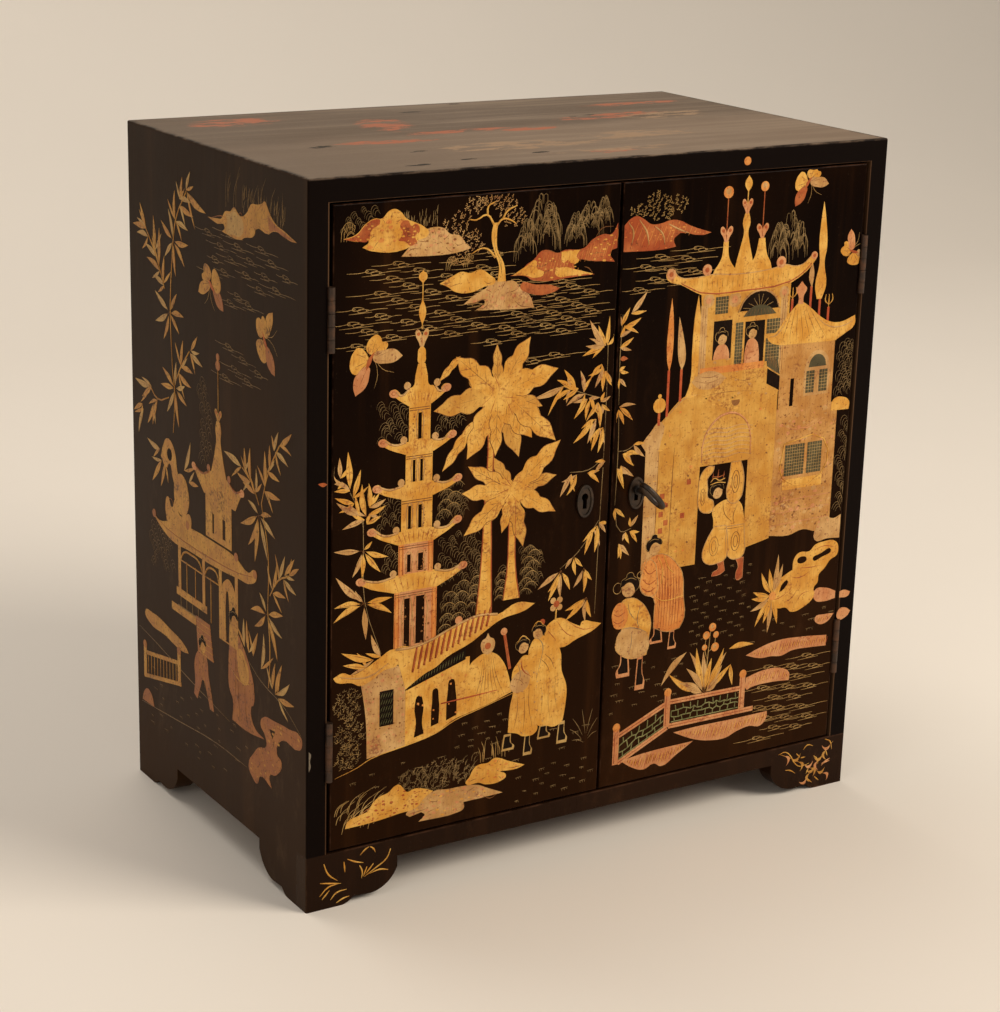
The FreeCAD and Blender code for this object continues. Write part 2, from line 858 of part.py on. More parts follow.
def doorPanel(name, low, high, tools):
    blank = shaped(
        f"{name}_door_blank",
        "XZ_Plane",
        rectangle(high - low, doorHigh - doorLow),
        d.door_thickness,
        (low, front, doorLow),
        reverse=True,
    )
    rounded(blank, d.door_edge_round, lambda ends: all(abs(point.y) < 1e-6 for point in ends))
    for made in hinges[name]:
        tools = [*tools, made["notch"], *made["door"]["pilots"]]
    node(cut(f"{name}_door_panel", blank, tools))


doorEdge = inner - d.hinge_gap
lockMortise = box(
    "lock_mortise",
    (rightEdge, caseFace - d.lock_fit, lockLow - d.lock_fit),
    (lockEnd + d.lock_fit, doorBack, lockHigh + d.lock_fit),
)
doorPanel("left", -doorEdge, leftEdge, [leftKeyhole, strikeRecess, boltPocket])
doorPanel("right", rightEdge, doorEdge, [rightKeyhole, lockMortise])


# Checks and export

doc.recompute()
for item in doc.Objects:
    if "Invalid" in item.State or "Error" in item.State:
        raise RuntimeError(f"{item.Label} failed: {item.State}")
for label, (piece, solids) in nodes.items():
    shape = piece.Shape
    if shape.isNull() or not shape.isValid() or len(shape.Solids) != solids:
        raise RuntimeError(f"{label} has {len(shape.Solids)} solids in place of {solids}")

os.makedirs("parts", exist_ok=True)
for label, (piece, solids) in nodes.items():
    piece.Shape.exportStep(f"parts/{label}.step")
print(len(nodes), "nodes")
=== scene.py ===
import bpy
import bmesh
import math
import random
from mathutils import Matrix, Vector


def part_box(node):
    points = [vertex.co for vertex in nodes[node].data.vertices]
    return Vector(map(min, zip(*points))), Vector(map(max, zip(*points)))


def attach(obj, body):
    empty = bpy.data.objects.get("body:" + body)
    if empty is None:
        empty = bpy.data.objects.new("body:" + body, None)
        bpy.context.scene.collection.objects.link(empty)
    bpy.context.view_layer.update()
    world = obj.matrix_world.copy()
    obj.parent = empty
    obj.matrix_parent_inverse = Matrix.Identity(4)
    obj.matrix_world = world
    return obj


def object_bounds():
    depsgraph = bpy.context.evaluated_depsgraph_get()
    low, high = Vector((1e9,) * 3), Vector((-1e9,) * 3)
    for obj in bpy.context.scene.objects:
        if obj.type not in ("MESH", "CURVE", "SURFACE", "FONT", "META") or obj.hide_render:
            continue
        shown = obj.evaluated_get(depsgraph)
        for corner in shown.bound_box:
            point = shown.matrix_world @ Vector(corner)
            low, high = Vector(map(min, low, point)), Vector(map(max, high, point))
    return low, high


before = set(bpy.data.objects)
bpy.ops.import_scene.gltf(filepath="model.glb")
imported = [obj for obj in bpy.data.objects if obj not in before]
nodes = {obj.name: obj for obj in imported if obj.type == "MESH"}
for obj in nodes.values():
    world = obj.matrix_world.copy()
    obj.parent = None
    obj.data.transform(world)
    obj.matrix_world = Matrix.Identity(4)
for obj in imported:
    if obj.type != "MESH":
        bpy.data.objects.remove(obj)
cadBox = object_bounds()
mm = 0.001
outer = {"side": 0.21, "front": -0.125, "back": 0.125, "top": 0.449}  # faces of the carcass, in metres
beyond = 1.0  # metres, past every face
print("frame loaded:", len(nodes), "CAD nodes")


# node tree helpers

def put(tree, kind, inputs=None, **settings):
    made = tree.nodes.new("ShaderNode" + kind)
    for key, value in settings.items():
        setattr(made, key, value)
    for key, value in (inputs or {}).items():
        if isinstance(value, bpy.types.NodeSocket):
            tree.links.new(value, made.inputs[key])
        else:
            made.inputs[key].default_value = value
    return made


def newMaterial(name):
    material = bpy.data.materials.new(name)
    material.use_nodes = True
    tree = material.node_tree
    return material, tree, tree.nodes["Principled BSDF"]


def feed(tree, shader, **sockets):
    names = {"colour": "Base Color", "roughness": "Roughness", "metallic": "Metallic",
             "normal": "Normal", "specular": "Specular IOR Level"}
    for key, value in sockets.items():
        socket = shader.inputs[names[key]]
        if isinstance(value, bpy.types.NodeSocket):
            tree.links.new(value, socket)
        else:
            socket.default_value = value


def where(tree, scale=(1, 1, 1), turn=(0, 0, 0)):
    place = put(tree, "TexCoord")
    return put(tree, "Mapping", {"Vector": place.outputs["Object"], "Scale": scale,
                                 "Rotation": turn}).outputs["Vector"]


def clouds(tree, vector, scale, detail=5.0, rough=0.55, twist=0.0):
    return put(tree, "TexNoise", {"Vector": vector, "Scale": scale, "Detail": detail, "Roughness": rough,
                                  "Distortion": twist}).outputs["Fac"]


def blend(tree, factor, first, second):
    made = put(tree, "Mix", data_type="RGBA")
    for socket, value in ((made.inputs[0], factor), (made.inputs[6], first), (made.inputs[7], second)):
        if isinstance(value, bpy.types.NodeSocket):
            tree.links.new(value, socket)
        else:
            socket.default_value = (*value, 1) if isinstance(value, tuple) else value
    return made.outputs[2]


def calc(tree, operation, first, second=0.0, clamp=False):
    return put(tree, "Math", {0: first, 1: second}, operation=operation, use_clamp=clamp).outputs[0]


def remap(tree, value, low, high, toLow=0.0, toHigh=1.0):
    return put(tree, "MapRange", {"Value": value, "From Min": low, "From Max": high, "To Min": toLow,
                                  "To Max": toHigh}, interpolation_type="SMOOTHSTEP").outputs["Result"]


def bumps(tree, height, strength, distance=0.0002):
    return put(tree, "Bump", {"Height": height, "Strength": strength, "Distance": distance}).outputs["Normal"]


def coordinate(tree, axis):
    return put(tree, "SeparateXYZ", {"Vector": where(tree)}).outputs[axis]


def edgeDistance(tree, low, high):
    gaps = []  # the middle one of three distances to the faces is the distance to an edge
    for axis in range(3):
        along = coordinate(tree, axis)
        below = calc(tree, "SUBTRACT", along, low[axis])
        above = calc(tree, "SUBTRACT", high[axis], along)
        gaps.append(calc(tree, "MINIMUM", below, above))
    smaller = calc(tree, "MINIMUM", gaps[0], gaps[1])
    larger = calc(tree, "MAXIMUM", gaps[0], gaps[1])
    return calc(tree, "MAXIMUM", smaller, calc(tree, "MINIMUM", larger, gaps[2]))


def spot(tree, middle, radii, turn=0.0):
    place = put(tree, "TexCoord")
    local = put(tree, "Mapping", {"Vector": place.outputs["Object"], "Location": middle, "Scale": radii,
                                  "Rotation": (0, 0, turn)}, vector_type="TEXTURE")
    away = put(tree, "VectorMath", {0: local.outputs["Vector"]}, operation="LENGTH").outputs["Value"]
    return remap(tree, away, 1.0, 0.15)


# studio: floor and wall in one sweep, soft lamps, the photograph's camera

studio = {"width": 11.0, "front": -4.5, "back": 3.2, "height": 4.4, "sweep": 1.9, "segments": 40,
          "colour": (0.92, 0.83, 0.72), "ambient": 0.26, "ambientColour": (1.0, 0.97, 0.93)}


def buildStudio():
    bm = bmesh.new()
    bmesh.ops.create_grid(bm, x_segments=1, y_segments=1, size=0.5)
    depth = studio["back"] - studio["front"]
    bmesh.ops.scale(bm, vec=(studio["width"], depth, 1), verts=bm.verts)
    bmesh.ops.translate(bm, vec=(0, (studio["back"] + studio["front"]) / 2, 0), verts=bm.verts)
    rear = [e for e in bm.edges if all(v.co.y > studio["back"] - 0.01 for v in e.verts)]
    wall = bmesh.ops.extrude_edge_only(bm, edges=rear)["geom"]
    bmesh.ops.translate(bm, vec=(0, 0, studio["height"]),
                        verts=[v for v in wall if isinstance(v, bmesh.types.BMVert)])
    bmesh.ops.bevel(bm, geom=rear, offset=studio["sweep"], segments=studio["segments"], profile=0.5,
                    affect="EDGES", material=-1)
    bmesh.ops.recalc_face_normals(bm, faces=bm.faces)
    for face in bm.faces:
        face.smooth = True
        if face.normal.z < -0.5:
            face.normal_flip()
    mesh = bpy.data.meshes.new("studio_sweep")
    bm.to_mesh(mesh)
    bm.free()
    floor = bpy.data.objects.new("studio_sweep", mesh)
    bpy.context.scene.collection.objects.link(floor)
    paint, tree, shader = newMaterial("pale_paper")
    mottle = clouds(tree, where(tree), 3.0, 4)
    feed(tree, shader, colour=blend(tree, mottle, tuple(c * 0.97 for c in studio["colour"]), studio["colour"]),
         roughness=0.9, specular=0.2)
    mesh.materials.append(paint)


lamps = [
    {"name": "key", "place": (1.5, -1.9, 1.9), "aim": (0, 0, 0.2), "size": 1.5, "power": 62,
        "colour": (1, 0.93, 0.83)},
    {"name": "fill", "place": (-2.2, -1.2, 1.2), "aim": (0, 0, 0.2), "size": 1.6, "power": 9,
        "colour": (1, 0.97, 0.93)},
    {"name": "over", "place": (-0.3, 1.2, 2.6), "aim": (0, 0.3, 0.3), "size": 1.8, "power": 26,
        "colour": (1, 0.98, 0.95)},
]


def buildLamps():
    for lamp in lamps:
        light = bpy.data.lights.new(lamp["name"], "AREA")
        light.energy = lamp["power"]
        light.size = lamp["size"]
        light.color = lamp["colour"]
        made = bpy.data.objects.new(lamp["name"], light)
        made.location = lamp["place"]
        made.rotation_euler = (Vector(lamp["aim"]) - Vector(lamp["place"])).to_track_quat("-Z", "Y").to_euler()
        bpy.context.scene.collection.objects.link(made)
    world = bpy.data.worlds.new("studio_air")
    world.use_nodes = True
    sky = world.node_tree.nodes["Background"]
    sky.inputs["Color"].default_value = (*studio["ambientColour"], 1)
    sky.inputs["Strength"].default_value = studio["ambient"]
    bpy.context.scene.world = world


view = {"place": (-0.8144, -1.2867, 0.6637), "azimuth": -32.357, "elevation": 17.0686, "roll": 1.5855,
        "focalPixels": 2369.0, "longSidePixels": 1012, "sensor": 36.0}


def buildCamera():
    data = bpy.data.cameras.new("photo_view")
    data.sensor_width = view["sensor"]
    data.lens = view["focalPixels"] * view["sensor"] / view["longSidePixels"]
    data.clip_start = 0.05
    camera = bpy.data.objects.new("photo_view", data)
    spin = (Matrix.Rotation(math.radians(view["azimuth"]), 4, "Z")
            @ Matrix.Rotation(math.radians(90 - view["elevation"]), 4, "X")
            @ Matrix.Rotation(math.radians(view["roll"]), 4, "Z"))
    camera.matrix_world = Matrix.Translation(view["place"]) @ spin
    bpy.context.scene.collection.objects.link(camera)
    bpy.context.scene.camera = camera


buildStudio()
buildLamps()
buildCamera()
bpy.context.scene.view_settings.view_transform = "Standard"
print("studio, lamps and camera ready")


# lacquer, wood and metal for the CAD nodes

# edge: lighter colour along the edges, worn lacquer and partly a painted highlight
lacquerLooks = {
    "door": {"body": (0.0036, 0.0012, 0.0005), "haze": (0.027, 0.0092, 0.0025), "gloss": (0.13, 0.24),
             "edge": (0.085, 0.036, 0.018), "edgeReach": 0.0010, "scuff": (0.045, 0.017, 0.006), "specular": 0.02,
             "inner": [(1, 0.1115)]},
    # side: body and haze lighter than the doors', partly the lacquer's own duller tone and partly a painted sheen
    "side": {"body": (0.023, 0.0106, 0.0040), "haze": (0.046, 0.0200, 0.0070), "gloss": (0.36, 0.50),
             "edge": (0.06, 0.030, 0.017), "edgeReach": 0.0018, "scuff": (0.085, 0.046, 0.022), "specular": 0.045,
             "inner": [(0, 0.1972), (2, 0.4352)]},
    "plinth": {"body": (0.0070, 0.0028, 0.0012), "haze": (0.023, 0.0086, 0.0031), "gloss": (0.20, 0.34),
               "edge": (0.085, 0.036, 0.018), "edgeReach": 0.0012, "scuff": (0.060, 0.025, 0.010), "specular": 0.06,
               "inner": [(1, 0.1120)]},
}
rawWood = {"main": (0.062, 0.029, 0.0135), "light": (0.105, 0.054, 0.026)}  # stained softwood inside


def grain(tree, along):
    stretch = [60, 60, 60]
    stretch[along] = 3
    rings = clouds(tree, where(tree, tuple(stretch)), 1.0, 6, 0.6, 0.6)
    return blend(tree, remap(tree, rings, 0.35, 0.65), rawWood["main"], rawWood["light"])


lacquerNoise = {  # scale, detail, roughness
    "broad": (5, 4, 0.5), "fine": (420, 4, 0.6), "scratch": (12, 3, 0.6), "specks": (900, 2, 0.5),
    "drag": (55, 4, 0.6), "knocks": (30, 6, 0.78), "rubbing": (60, 5, 0.7),
}
dustColour = (0.10, 0.062, 0.036)


def lacquer(name, look, low, high, extra=None):
    material, tree, shader = newMaterial(name)
    broad = clouds(tree, where(tree), *lacquerNoise["broad"])
    fine = clouds(tree, where(tree, (1, 1, 0.25)), *lacquerNoise["fine"])
    scratch = clouds(tree, where(tree, (90, 90, 3), (0.0, 0.5, 0.3)), *lacquerNoise["scratch"])
    specks = clouds(tree, where(tree), *lacquerNoise["specks"])
    lower = remap(tree, coordinate(tree, 2), 0.42, 0.04, 0.0, 0.55)  # browner towards the foot
    drag = clouds(tree, where(tree, (1, 1, 0.05)), *lacquerNoise["drag"])  # board grain ghosting through
    amount = calc(tree, "ADD", lower, remap(tree, broad, 0.46, 0.72, 0.0, 0.4))
    amount = calc(tree, "ADD", amount, remap(tree, drag, 0.52, 0.72, 0.0, 0.5), True)
    colour = blend(tree, amount, look["body"], look["haze"])
    colour = blend(tree, remap(tree, specks, 0.71, 0.77, 0, 0.25), colour, dustColour)  # dust, tiny chips
    knocks = clouds(tree, where(tree, (1, 1, 0.5)), *lacquerNoise["knocks"])
    scuffs = calc(tree, "MULTIPLY", remap(tree, knocks, 0.54, 0.70), lower)
    colour = blend(tree, scuffs, colour, look["scuff"])  # knocks and rubbing near the floor
    # lighter colour along the edges: worn lacquer and partly a painted highlight on the arrises
    edge = remap(tree, edgeDistance(tree, low, high), look["edgeReach"], 0.0003)
    rubbing = clouds(tree, where(tree), *lacquerNoise["rubbing"])
    worn = calc(tree, "MULTIPLY", edge, remap(tree, rubbing, 0.40, 0.75))
    colour = blend(tree, worn, colour, look["edge"])
    if extra:
        colour = extra(tree, colour)
    inside = 1.0
    for axis, reach in look["inner"]:
        nearer = calc(tree, "LESS_THAN", calc(tree, "ABSOLUTE", coordinate(tree, axis)), reach)
        inside = calc(tree, "MULTIPLY", inside, nearer)
    colour = blend(tree, inside, colour, grain(tree, 2))
    dull = remap(tree, calc(tree, "ADD", broad, calc(tree, "MULTIPLY", fine, 0.25)), 0.4, 0.9, *look["gloss"])
    dull = calc(tree, "ADD", dull, remap(tree, scratch, 0.62, 0.70, 0, 0.10))
    dull = calc(tree, "ADD", dull, calc(tree, "MULTIPLY", inside, 0.3))
    feed(tree, shader, colour=colour, roughness=calc(tree, "ADD", dull, calc(tree, "MULTIPLY", worn, 0.3), True),
         specular=look["specular"], normal=bumps(tree, calc(tree, "ADD", fine, scratch), 0.05, 0.0001))
    return material


# colours of the top and its edges: wear, and partly painted sheen and edge highlight
topWearAndSheen = {
    "front": (0.218, 0.150, 0.100), "back": (0.140, 0.096, 0.064), "streak": (0.310, 0.224, 0.152),
    "rim": (0.020, 0.012, 0.008), "boardJoint": 0.0,
    # corner: rubbed top edges, partly a painted edge highlight
    "corner": (0.105, 0.066, 0.042), "plinthEnd": (0.037, 0.0168, 0.0062),
    "patches": [
        {"colour": (0.400, 0.130, 0.066), "low": 0.30, "high": 0.60, "spots": [((-0.066, 0.045), (0.030, 0.046),
            -0.35), ((-0.038, 0.004), (0.092, 0.010), 0.03), ((0.014, -0.002), (0.034, 0.013), 0.0),
            ((0.010, -0.100), (0.040, 0.012), 0.05), ((-0.150, 0.090), (0.055, 0.026), 0.1),
            ((0.150, 0.075), (0.070, 0.012), 0.0), ((0.100, 0.030), (0.080, 0.016), 0.1),
            ((-0.100, -0.020), (0.060, 0.012), -0.1)]},
        {"colour": (0.340, 0.215, 0.125), "low": 0.40, "high": 0.80, "spots": [((0.065, -0.050), (0.090, 0.030), 0.1),
            ((-0.030, -0.060), (0.110, 0.030), 0.0), ((0.140, 0.020), (0.070, 0.026), 0.1),
            ((0.020, -0.095), (0.090, 0.016), 0.0)]},
        {"colour": (0.014, 0.009, 0.006), "low": 0.36, "high": 0.46, "spots": [((-0.148, -0.023), (0.020, 0.006),
            0.1), ((-0.100, -0.060), (0.013, 0.004), 0.2), ((-0.037, -0.090), (0.014, 0.004), 0.0),
            ((-0.088, -0.098), (0.012, 0.004), 0.0), ((-0.127, -0.105), (0.016, 0.004), 0.1),
            ((0.080, 0.036), (0.020, 0.004), 0.2), ((-0.020, 0.092), (0.016, 0.004), 0.0),
            ((0.030, 0.118), (0.014, 0.004), 0.0)]},
    ],
}


def wearAndSheenTop(tree, colour):
    ragged = clouds(tree, where(tree, (0.35, 1, 1)), 120, 6, 0.72)
    dragged = clouds(tree, where(tree, (0.06, 1, 1), (0, 0, 0.05)), 90, 5, 0.65)
    drift = calc(tree, "MULTIPLY", calc(tree, "SUBTRACT", clouds(tree, where(tree), 16, 4), 0.5), 0.05)
    behind = remap(tree, calc(tree, "ADD", coordinate(tree, 1), drift), topWearAndSheen["boardJoint"] - 0.012,
                   topWearAndSheen["boardJoint"] + 0.018)
    # light grey-brown of the top and its paler streaks: faded, worn lacquer and partly a painted sheen
    face = blend(tree, behind, topWearAndSheen["front"], topWearAndSheen["back"])
    face = blend(tree, remap(tree, dragged, 0.42, 0.70, 0, 0.55), face, topWearAndSheen["streak"])
    face = blend(tree, remap(tree, coordinate(tree, 0), 0.0, -0.20, 0.0, 0.6), face,
                 topWearAndSheen["back"])  # painted shade, darker towards the left
    for kind in topWearAndSheen["patches"]:
        for (x, y), (rx, ry), turn in kind["spots"]:
            near = spot(tree, (x, y, outer["top"]), (rx, ry, 0.05), turn)
            eaten = remap(tree, calc(tree, "MULTIPLY", near, remap(tree, ragged, 0.36, 0.64, 0, 1.25)), kind["low"],
                          kind["high"])
            face = blend(tree, eaten, face, kind["colour"])
    rim = edgeDistance(tree, (-outer["side"], outer["front"], -beyond), (outer["side"], outer["back"], outer["top"]))
    rim = remap(tree, rim, 0.0045, 0.0008)
    face = blend(tree, calc(tree, "MULTIPLY", rim, remap(tree, ragged, 0.35, 0.6)), face, topWearAndSheen["rim"])
    upward = remap(tree, coordinate(tree, 2), outer["top"] - 0.0008, outer["top"] - 0.0001)
    return blend(tree, upward, colour, face)


def carcassZones(tree, colour):
    front = remap(tree, coordinate(tree, 1), outer["front"] + 0.0015, outer["front"] + 0.0002)  # black as the doors
    colour = blend(tree, front, colour, lacquerLooks["door"]["body"])
    # lighter colour along the top's front and back edges: rubbed lacquer and partly a painted edge highlight
    corner = edgeDistance(tree, (-beyond, outer["front"], -beyond), (beyond, outer["back"], outer["top"]))
    corner = remap(tree, corner, 0.0015, 0.0003)
    rubbed = calc(tree, "MULTIPLY", corner, remap(tree, clouds(tree, where(tree), 70, 5, 0.7), 0.42, 0.62))
    return wearAndSheenTop(tree, blend(tree, rubbed, colour, topWearAndSheen["corner"]))


def plinthEnds(tree, colour):
    out = calc(tree, "ABSOLUTE", coordinate(tree, 0))
    atEnd = remap(tree, out, outer["side"] - 0.0006, outer["side"] - 0.0001)
    return blend(tree, atEnd, colour, topWearAndSheen["plinthEnd"])


metalLooks = {
    "rusty_iron": {"main": (0.040, 0.022, 0.013), "other": (0.105, 0.046, 0.020), "metallic": 0.45,
        "rough": (0.42, 0.70)},
    "dark_iron": {"main": (0.036, 0.030, 0.026), "other": (0.080, 0.052, 0.034), "metallic": 0.75,
        "rough": (0.32, 0.55)},
    "dull_brass": {"main": (0.018, 0.010, 0.005), "other": (0.055, 0.029, 0.013), "metallic": 0.45,
        "rough": (0.34, 0.60)},
}


def metal(name):
    look = metalLooks[name]
    material, tree, shader = newMaterial(name)
    blotch = clouds(tree, where(tree), 140, 6, 0.65)
    pits = clouds(tree, where(tree), 900, 3, 0.6)
    colour = blend(tree, remap(tree, blotch, 0.40, 0.66), look["main"], look["other"])
    feed(tree, shader, colour=colour, metallic=look["metallic"], roughness=remap(tree, blotch, 0.35, 0.7,
         *look["rough"]), normal=bumps(tree, calc(tree, "ADD", blotch, calc(tree, "MULTIPLY", pits, 0.5)), 0.25,
         0.0001))
    return material


def timber(name, along):
    material, tree, shader = newMaterial(name)
    feed(tree, shader, colour=grain(tree, along), roughness=remap(tree, clouds(tree, where(tree), 40), 0.3, 0.7, 0.55,
         0.75), specular=0.3)
    return material


def dress(names, material):
    for name in names:
        mesh = nodes[name].data
        mesh.materials.clear()
        mesh.materials.append(material)


def dressCad():
    low, high = cadBox
    low = (low[0], outer["front"], 0.0)  # without the key
    dress(["left_side", "right_side", "top_front_board", "top_back_board"],
          lacquer("carcass_lacquer", lacquerLooks["side"], low, high, carcassZones))
    dress(["front_plinth"], lacquer("plinth_lacquer", lacquerLooks["plinth"], *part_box("front_plinth"), plinthEnds))
    for door in ("left_door", "right_door"):
        dress([door + "_panel"], lacquer(door + "_lacquer", lacquerLooks["door"], *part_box(door + "_panel")))
    dress(["bottom_board", "shelf", "back_lower_board", "back_upper_board"], timber("board_wood", 0))
    dress([n for n in nodes if n.startswith("foot_block")], timber("block_wood", 2))
    dress([n for n in nodes if n.startswith("hinge")], metal("rusty_iron"))
    dress(["key", "lock_bolt", "lock_case", "lock_strike"], metal("dark_iron"))
    dress([n for n in nodes if "escutcheon" in n or "keeper" in n or n.startswith(("bolt_plate", "door_bolt",
          "lock_plate"))], metal("dull_brass"))


dressCad()
print("CAD nodes dressed")


# gilt paints

tones = {
    "gold": {"main": (0.64, 0.282, 0.034), "light": (0.80, 0.455, 0.096), "worn": (0.36, 0.105, 0.020), "wear": 0.75},
    "straw": {"main": (0.56, 0.246, 0.032), "light": (0.68, 0.365, 0.072), "worn": (0.32, 0.095, 0.018),
        "wear": 0.75},
    "ochre": {"main": (0.475, 0.205, 0.042), "light": (0.61, 0.315, 0.090), "worn": (0.24, 0.070, 0.018),
        "wear": 0.80},
    "amber": {"main": (0.62, 0.195, 0.032), "light": (0.74, 0.32, 0.075), "worn": (0.34, 0.065, 0.014), "wear": 0.75},
    "pale": {"main": (0.49, 0.245, 0.070), "light": (0.66, 0.390, 0.145), "worn": (0.25, 0.080, 0.034), "wear": 0.85},
    "rose": {"main": (0.56, 0.215, 0.075), "light": (0.68, 0.33, 0.135), "worn": (0.33, 0.080, 0.026), "wear": 0.75},
    "red": {"main": (0.36, 0.064, 0.014), "light": (0.50, 0.14, 0.034), "worn": (0.12, 0.022, 0.007), "wear": 0.60},
    "scarlet": {"main": (0.44, 0.060, 0.016), "light": (0.54, 0.12, 0.030), "worn": (0.10, 0.016, 0.006),
        "wear": 0.50},
    "brown": {"main": (0.22, 0.078, 0.016), "light": (0.30, 0.12, 0.030), "worn": (0.06, 0.016, 0.006), "wear": 0.50},
    "line": {"main": (0.46, 0.255, 0.070), "light": (0.58, 0.36, 0.12), "worn": (0.12, 0.045, 0.016), "wear": 0.60},
    "dim": {"main": (0.25, 0.150, 0.052), "light": (0.36, 0.225, 0.085), "worn": (0.040, 0.018, 0.007), "wear": 0.80},
    "dark": {"main": (0.006, 0.0028, 0.0014), "light": (0.013, 0.0062, 0.003), "worn": (0.03, 0.013, 0.006),
        "wear": 0.30, "shine": 0.04, "metal": 0.0},
    "olive": {"main": (0.070, 0.055, 0.022), "light": (0.115, 0.092, 0.040), "worn": (0.02, 0.012, 0.005),
        "wear": 0.60},
    "moss": {"main": (0.195, 0.185, 0.060), "light": (0.300, 0.270, 0.100), "worn": (0.04, 0.03, 0.010),
        "wear": 0.60},
    "grey": {"main": (0.150, 0.116, 0.078), "light": (0.240, 0.190, 0.130), "worn": (0.05, 0.032, 0.020),
        "wear": 0.60},
    # copper, rust and thread dull the left side's gilt, partly as painted shade of that side
    "copper": {"main": (0.46, 0.195, 0.030), "light": (0.60, 0.31, 0.070), "worn": (0.085, 0.030, 0.010),
        "wear": 0.70},
    "rust": {"main": (0.33, 0.105, 0.026), "light": (0.43, 0.17, 0.050), "worn": (0.07, 0.020, 0.008), "wear": 0.70},
    "thread": {"main": (0.23, 0.130, 0.045), "light": (0.32, 0.195, 0.075), "worn": (0.040, 0.018, 0.008),
        "wear": 0.80},
}
giltNoise = {  # scale, detail, roughness
    "mottle": (85, 5, 0.6), "streak": (1100, 3, 0.6), "specks": (520, 3, 0.6), "rubbed": (60, 6, 0.7),
    "warm": (38, 3, 0.6),
}


def giltPaint(tone):
    look = tones[tone]
    tint = tuple(0.62 * a + 0.38 * b for a, b in zip(look["main"], look["worn"]))  # redder clouds in the leaf
    material, tree, shader = newMaterial("gilt_" + tone)
    mottle = clouds(tree, where(tree), *giltNoise["mottle"])
    streak = clouds(tree, where(tree, (1, 1, 0.10), (0, 0.6, 0)), *giltNoise["streak"])
    specks = clouds(tree, where(tree), *giltNoise["specks"])
    rubbed = clouds(tree, where(tree), *giltNoise["rubbed"])
    warm = clouds(tree, where(tree), *giltNoise["warm"])
    colour = blend(tree, remap(tree, mottle, 0.35, 0.68), look["main"], look["light"])
    colour = blend(tree, remap(tree, warm, 0.50, 0.72, 0, 0.55), colour, tint)
    colour = blend(tree, remap(tree, streak, 0.48, 0.68, 0, 0.26), colour, look["worn"])  # brush marks
    colour = blend(tree, remap(tree, specks, 0.585, 0.66, 0, look["wear"]), colour, look["worn"])
    gone = calc(tree, "MULTIPLY", remap(tree, rubbed, 0.53, 0.66), remap(tree, specks, 0.42, 0.58))
    colour = blend(tree, calc(tree, "MULTIPLY", gone, look["wear"]), colour, look["worn"])
    feed(tree, shader, colour=colour, metallic=look.get("metal", 0.22),
         roughness=remap(tree, mottle, 0.3, 0.7, 0.36, 0.56), specular=look.get("shine", 0.22),
         normal=bumps(tree, streak, 0.20, 0.00005))
    return material


paints = {tone: giltPaint(tone) for tone in tones}
print("gilt paints ready:", len(paints))


# gilt drawing kit: shapes and brush lines are drawn flat in millimetres, then laid on a face

gilt = {"sink": 0.03, "thick": 0.06, "step": 0.04, "stagger": 0.003, "rim": 0.025, "flat": 0.35, "arc": 4,
        "lineArc": 3, "weld": 0.0004}
even = (1, 1, 1)  # a line as wide at its ends as in its middle
taper = (0.35, 1.0, 0.35)
spread = 0.618  # golden share, keeps scattered marks apart
dice = random.Random(11)
frontFace = (Matrix.Translation((0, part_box("left_door_panel")[0].y, 0)) @ Matrix.Rotation(math.pi / 2, 4, "X")
             @ Matrix.Scale(mm, 4))
sideFace = Matrix(((0, 0, -mm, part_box("left_side")[0].x), (-mm, 0, 0, 0), (0, mm, 0, 0), (0, 0, 0, 1)))
panels = {
    "left": {"face": frontFace, "body": "left_door", "limit": (-192.4, 0.5, 39.2, 432.2)},
    "right": {"face": frontFace, "body": "right_door", "limit": (5.3, 192.4, 39.2, 432.2)},
    "frame": {"face": frontFace, "body": "carcass", "limit": (-208.5, 208.5, 1.2, 447.5)},
    "side": {"face": sideFace, "body": "carcass", "limit": (-122.5, 122.5, 2.0, 446.0)},
}


sheet = {}  # the piece of gilt that is being drawn


def newSheet(name, panel):
    sheet.update(name=name, panel=panels[panel], bm=bmesh.new(), tones=[], cuts=0)


def addSpline(data, points, soft, closed, radii=None):
    u0, u1, v0, v1 = sheet["panel"]["limit"]
    spots = [(min(max(p[0], u0), u1), min(max(p[1], v0), v1), 0) for p in points]
    curved = [soft != (len(p) > 2) for p in points]  # a third number swaps smooth and sharp
    if any(curved):
        spline = data.splines.new("BEZIER")
        spline.bezier_points.add(len(spots) - 1)
        for knot, place, smooth in zip(spline.bezier_points, spots, curved):
            knot.co = place
            knot.handle_left_type = knot.handle_right_type = "AUTO" if smooth else "VECTOR"
        spline.resolution_u = gilt["arc"] if closed else gilt["lineArc"]
        knots = spline.bezier_points
    else:
        spline = data.splines.new("POLY")
        spline.points.add(len(spots) - 1)
        for knot, place in zip(spline.points, spots):
            knot.co = (*place, 1)
        knots = spline.points
    for knot, radius in zip(knots, radii or []):
        knot.radius = radius
    spline.use_cyclic_u = closed


def bake(data, tone, place):
    holder = bpy.data.objects.new("drawn", data)
    mesh = bpy.data.meshes.new_from_object(holder)
    mesh.transform(place)
    if tone not in sheet["tones"]:
        sheet["tones"].append(tone)
    mesh.polygons.foreach_set("material_index", [sheet["tones"].index(tone)] * len(mesh.polygons))
    sheet["bm"].from_mesh(mesh)
    bpy.data.objects.remove(holder)
    bpy.data.meshes.remove(mesh)
    bpy.data.curves.remove(data)


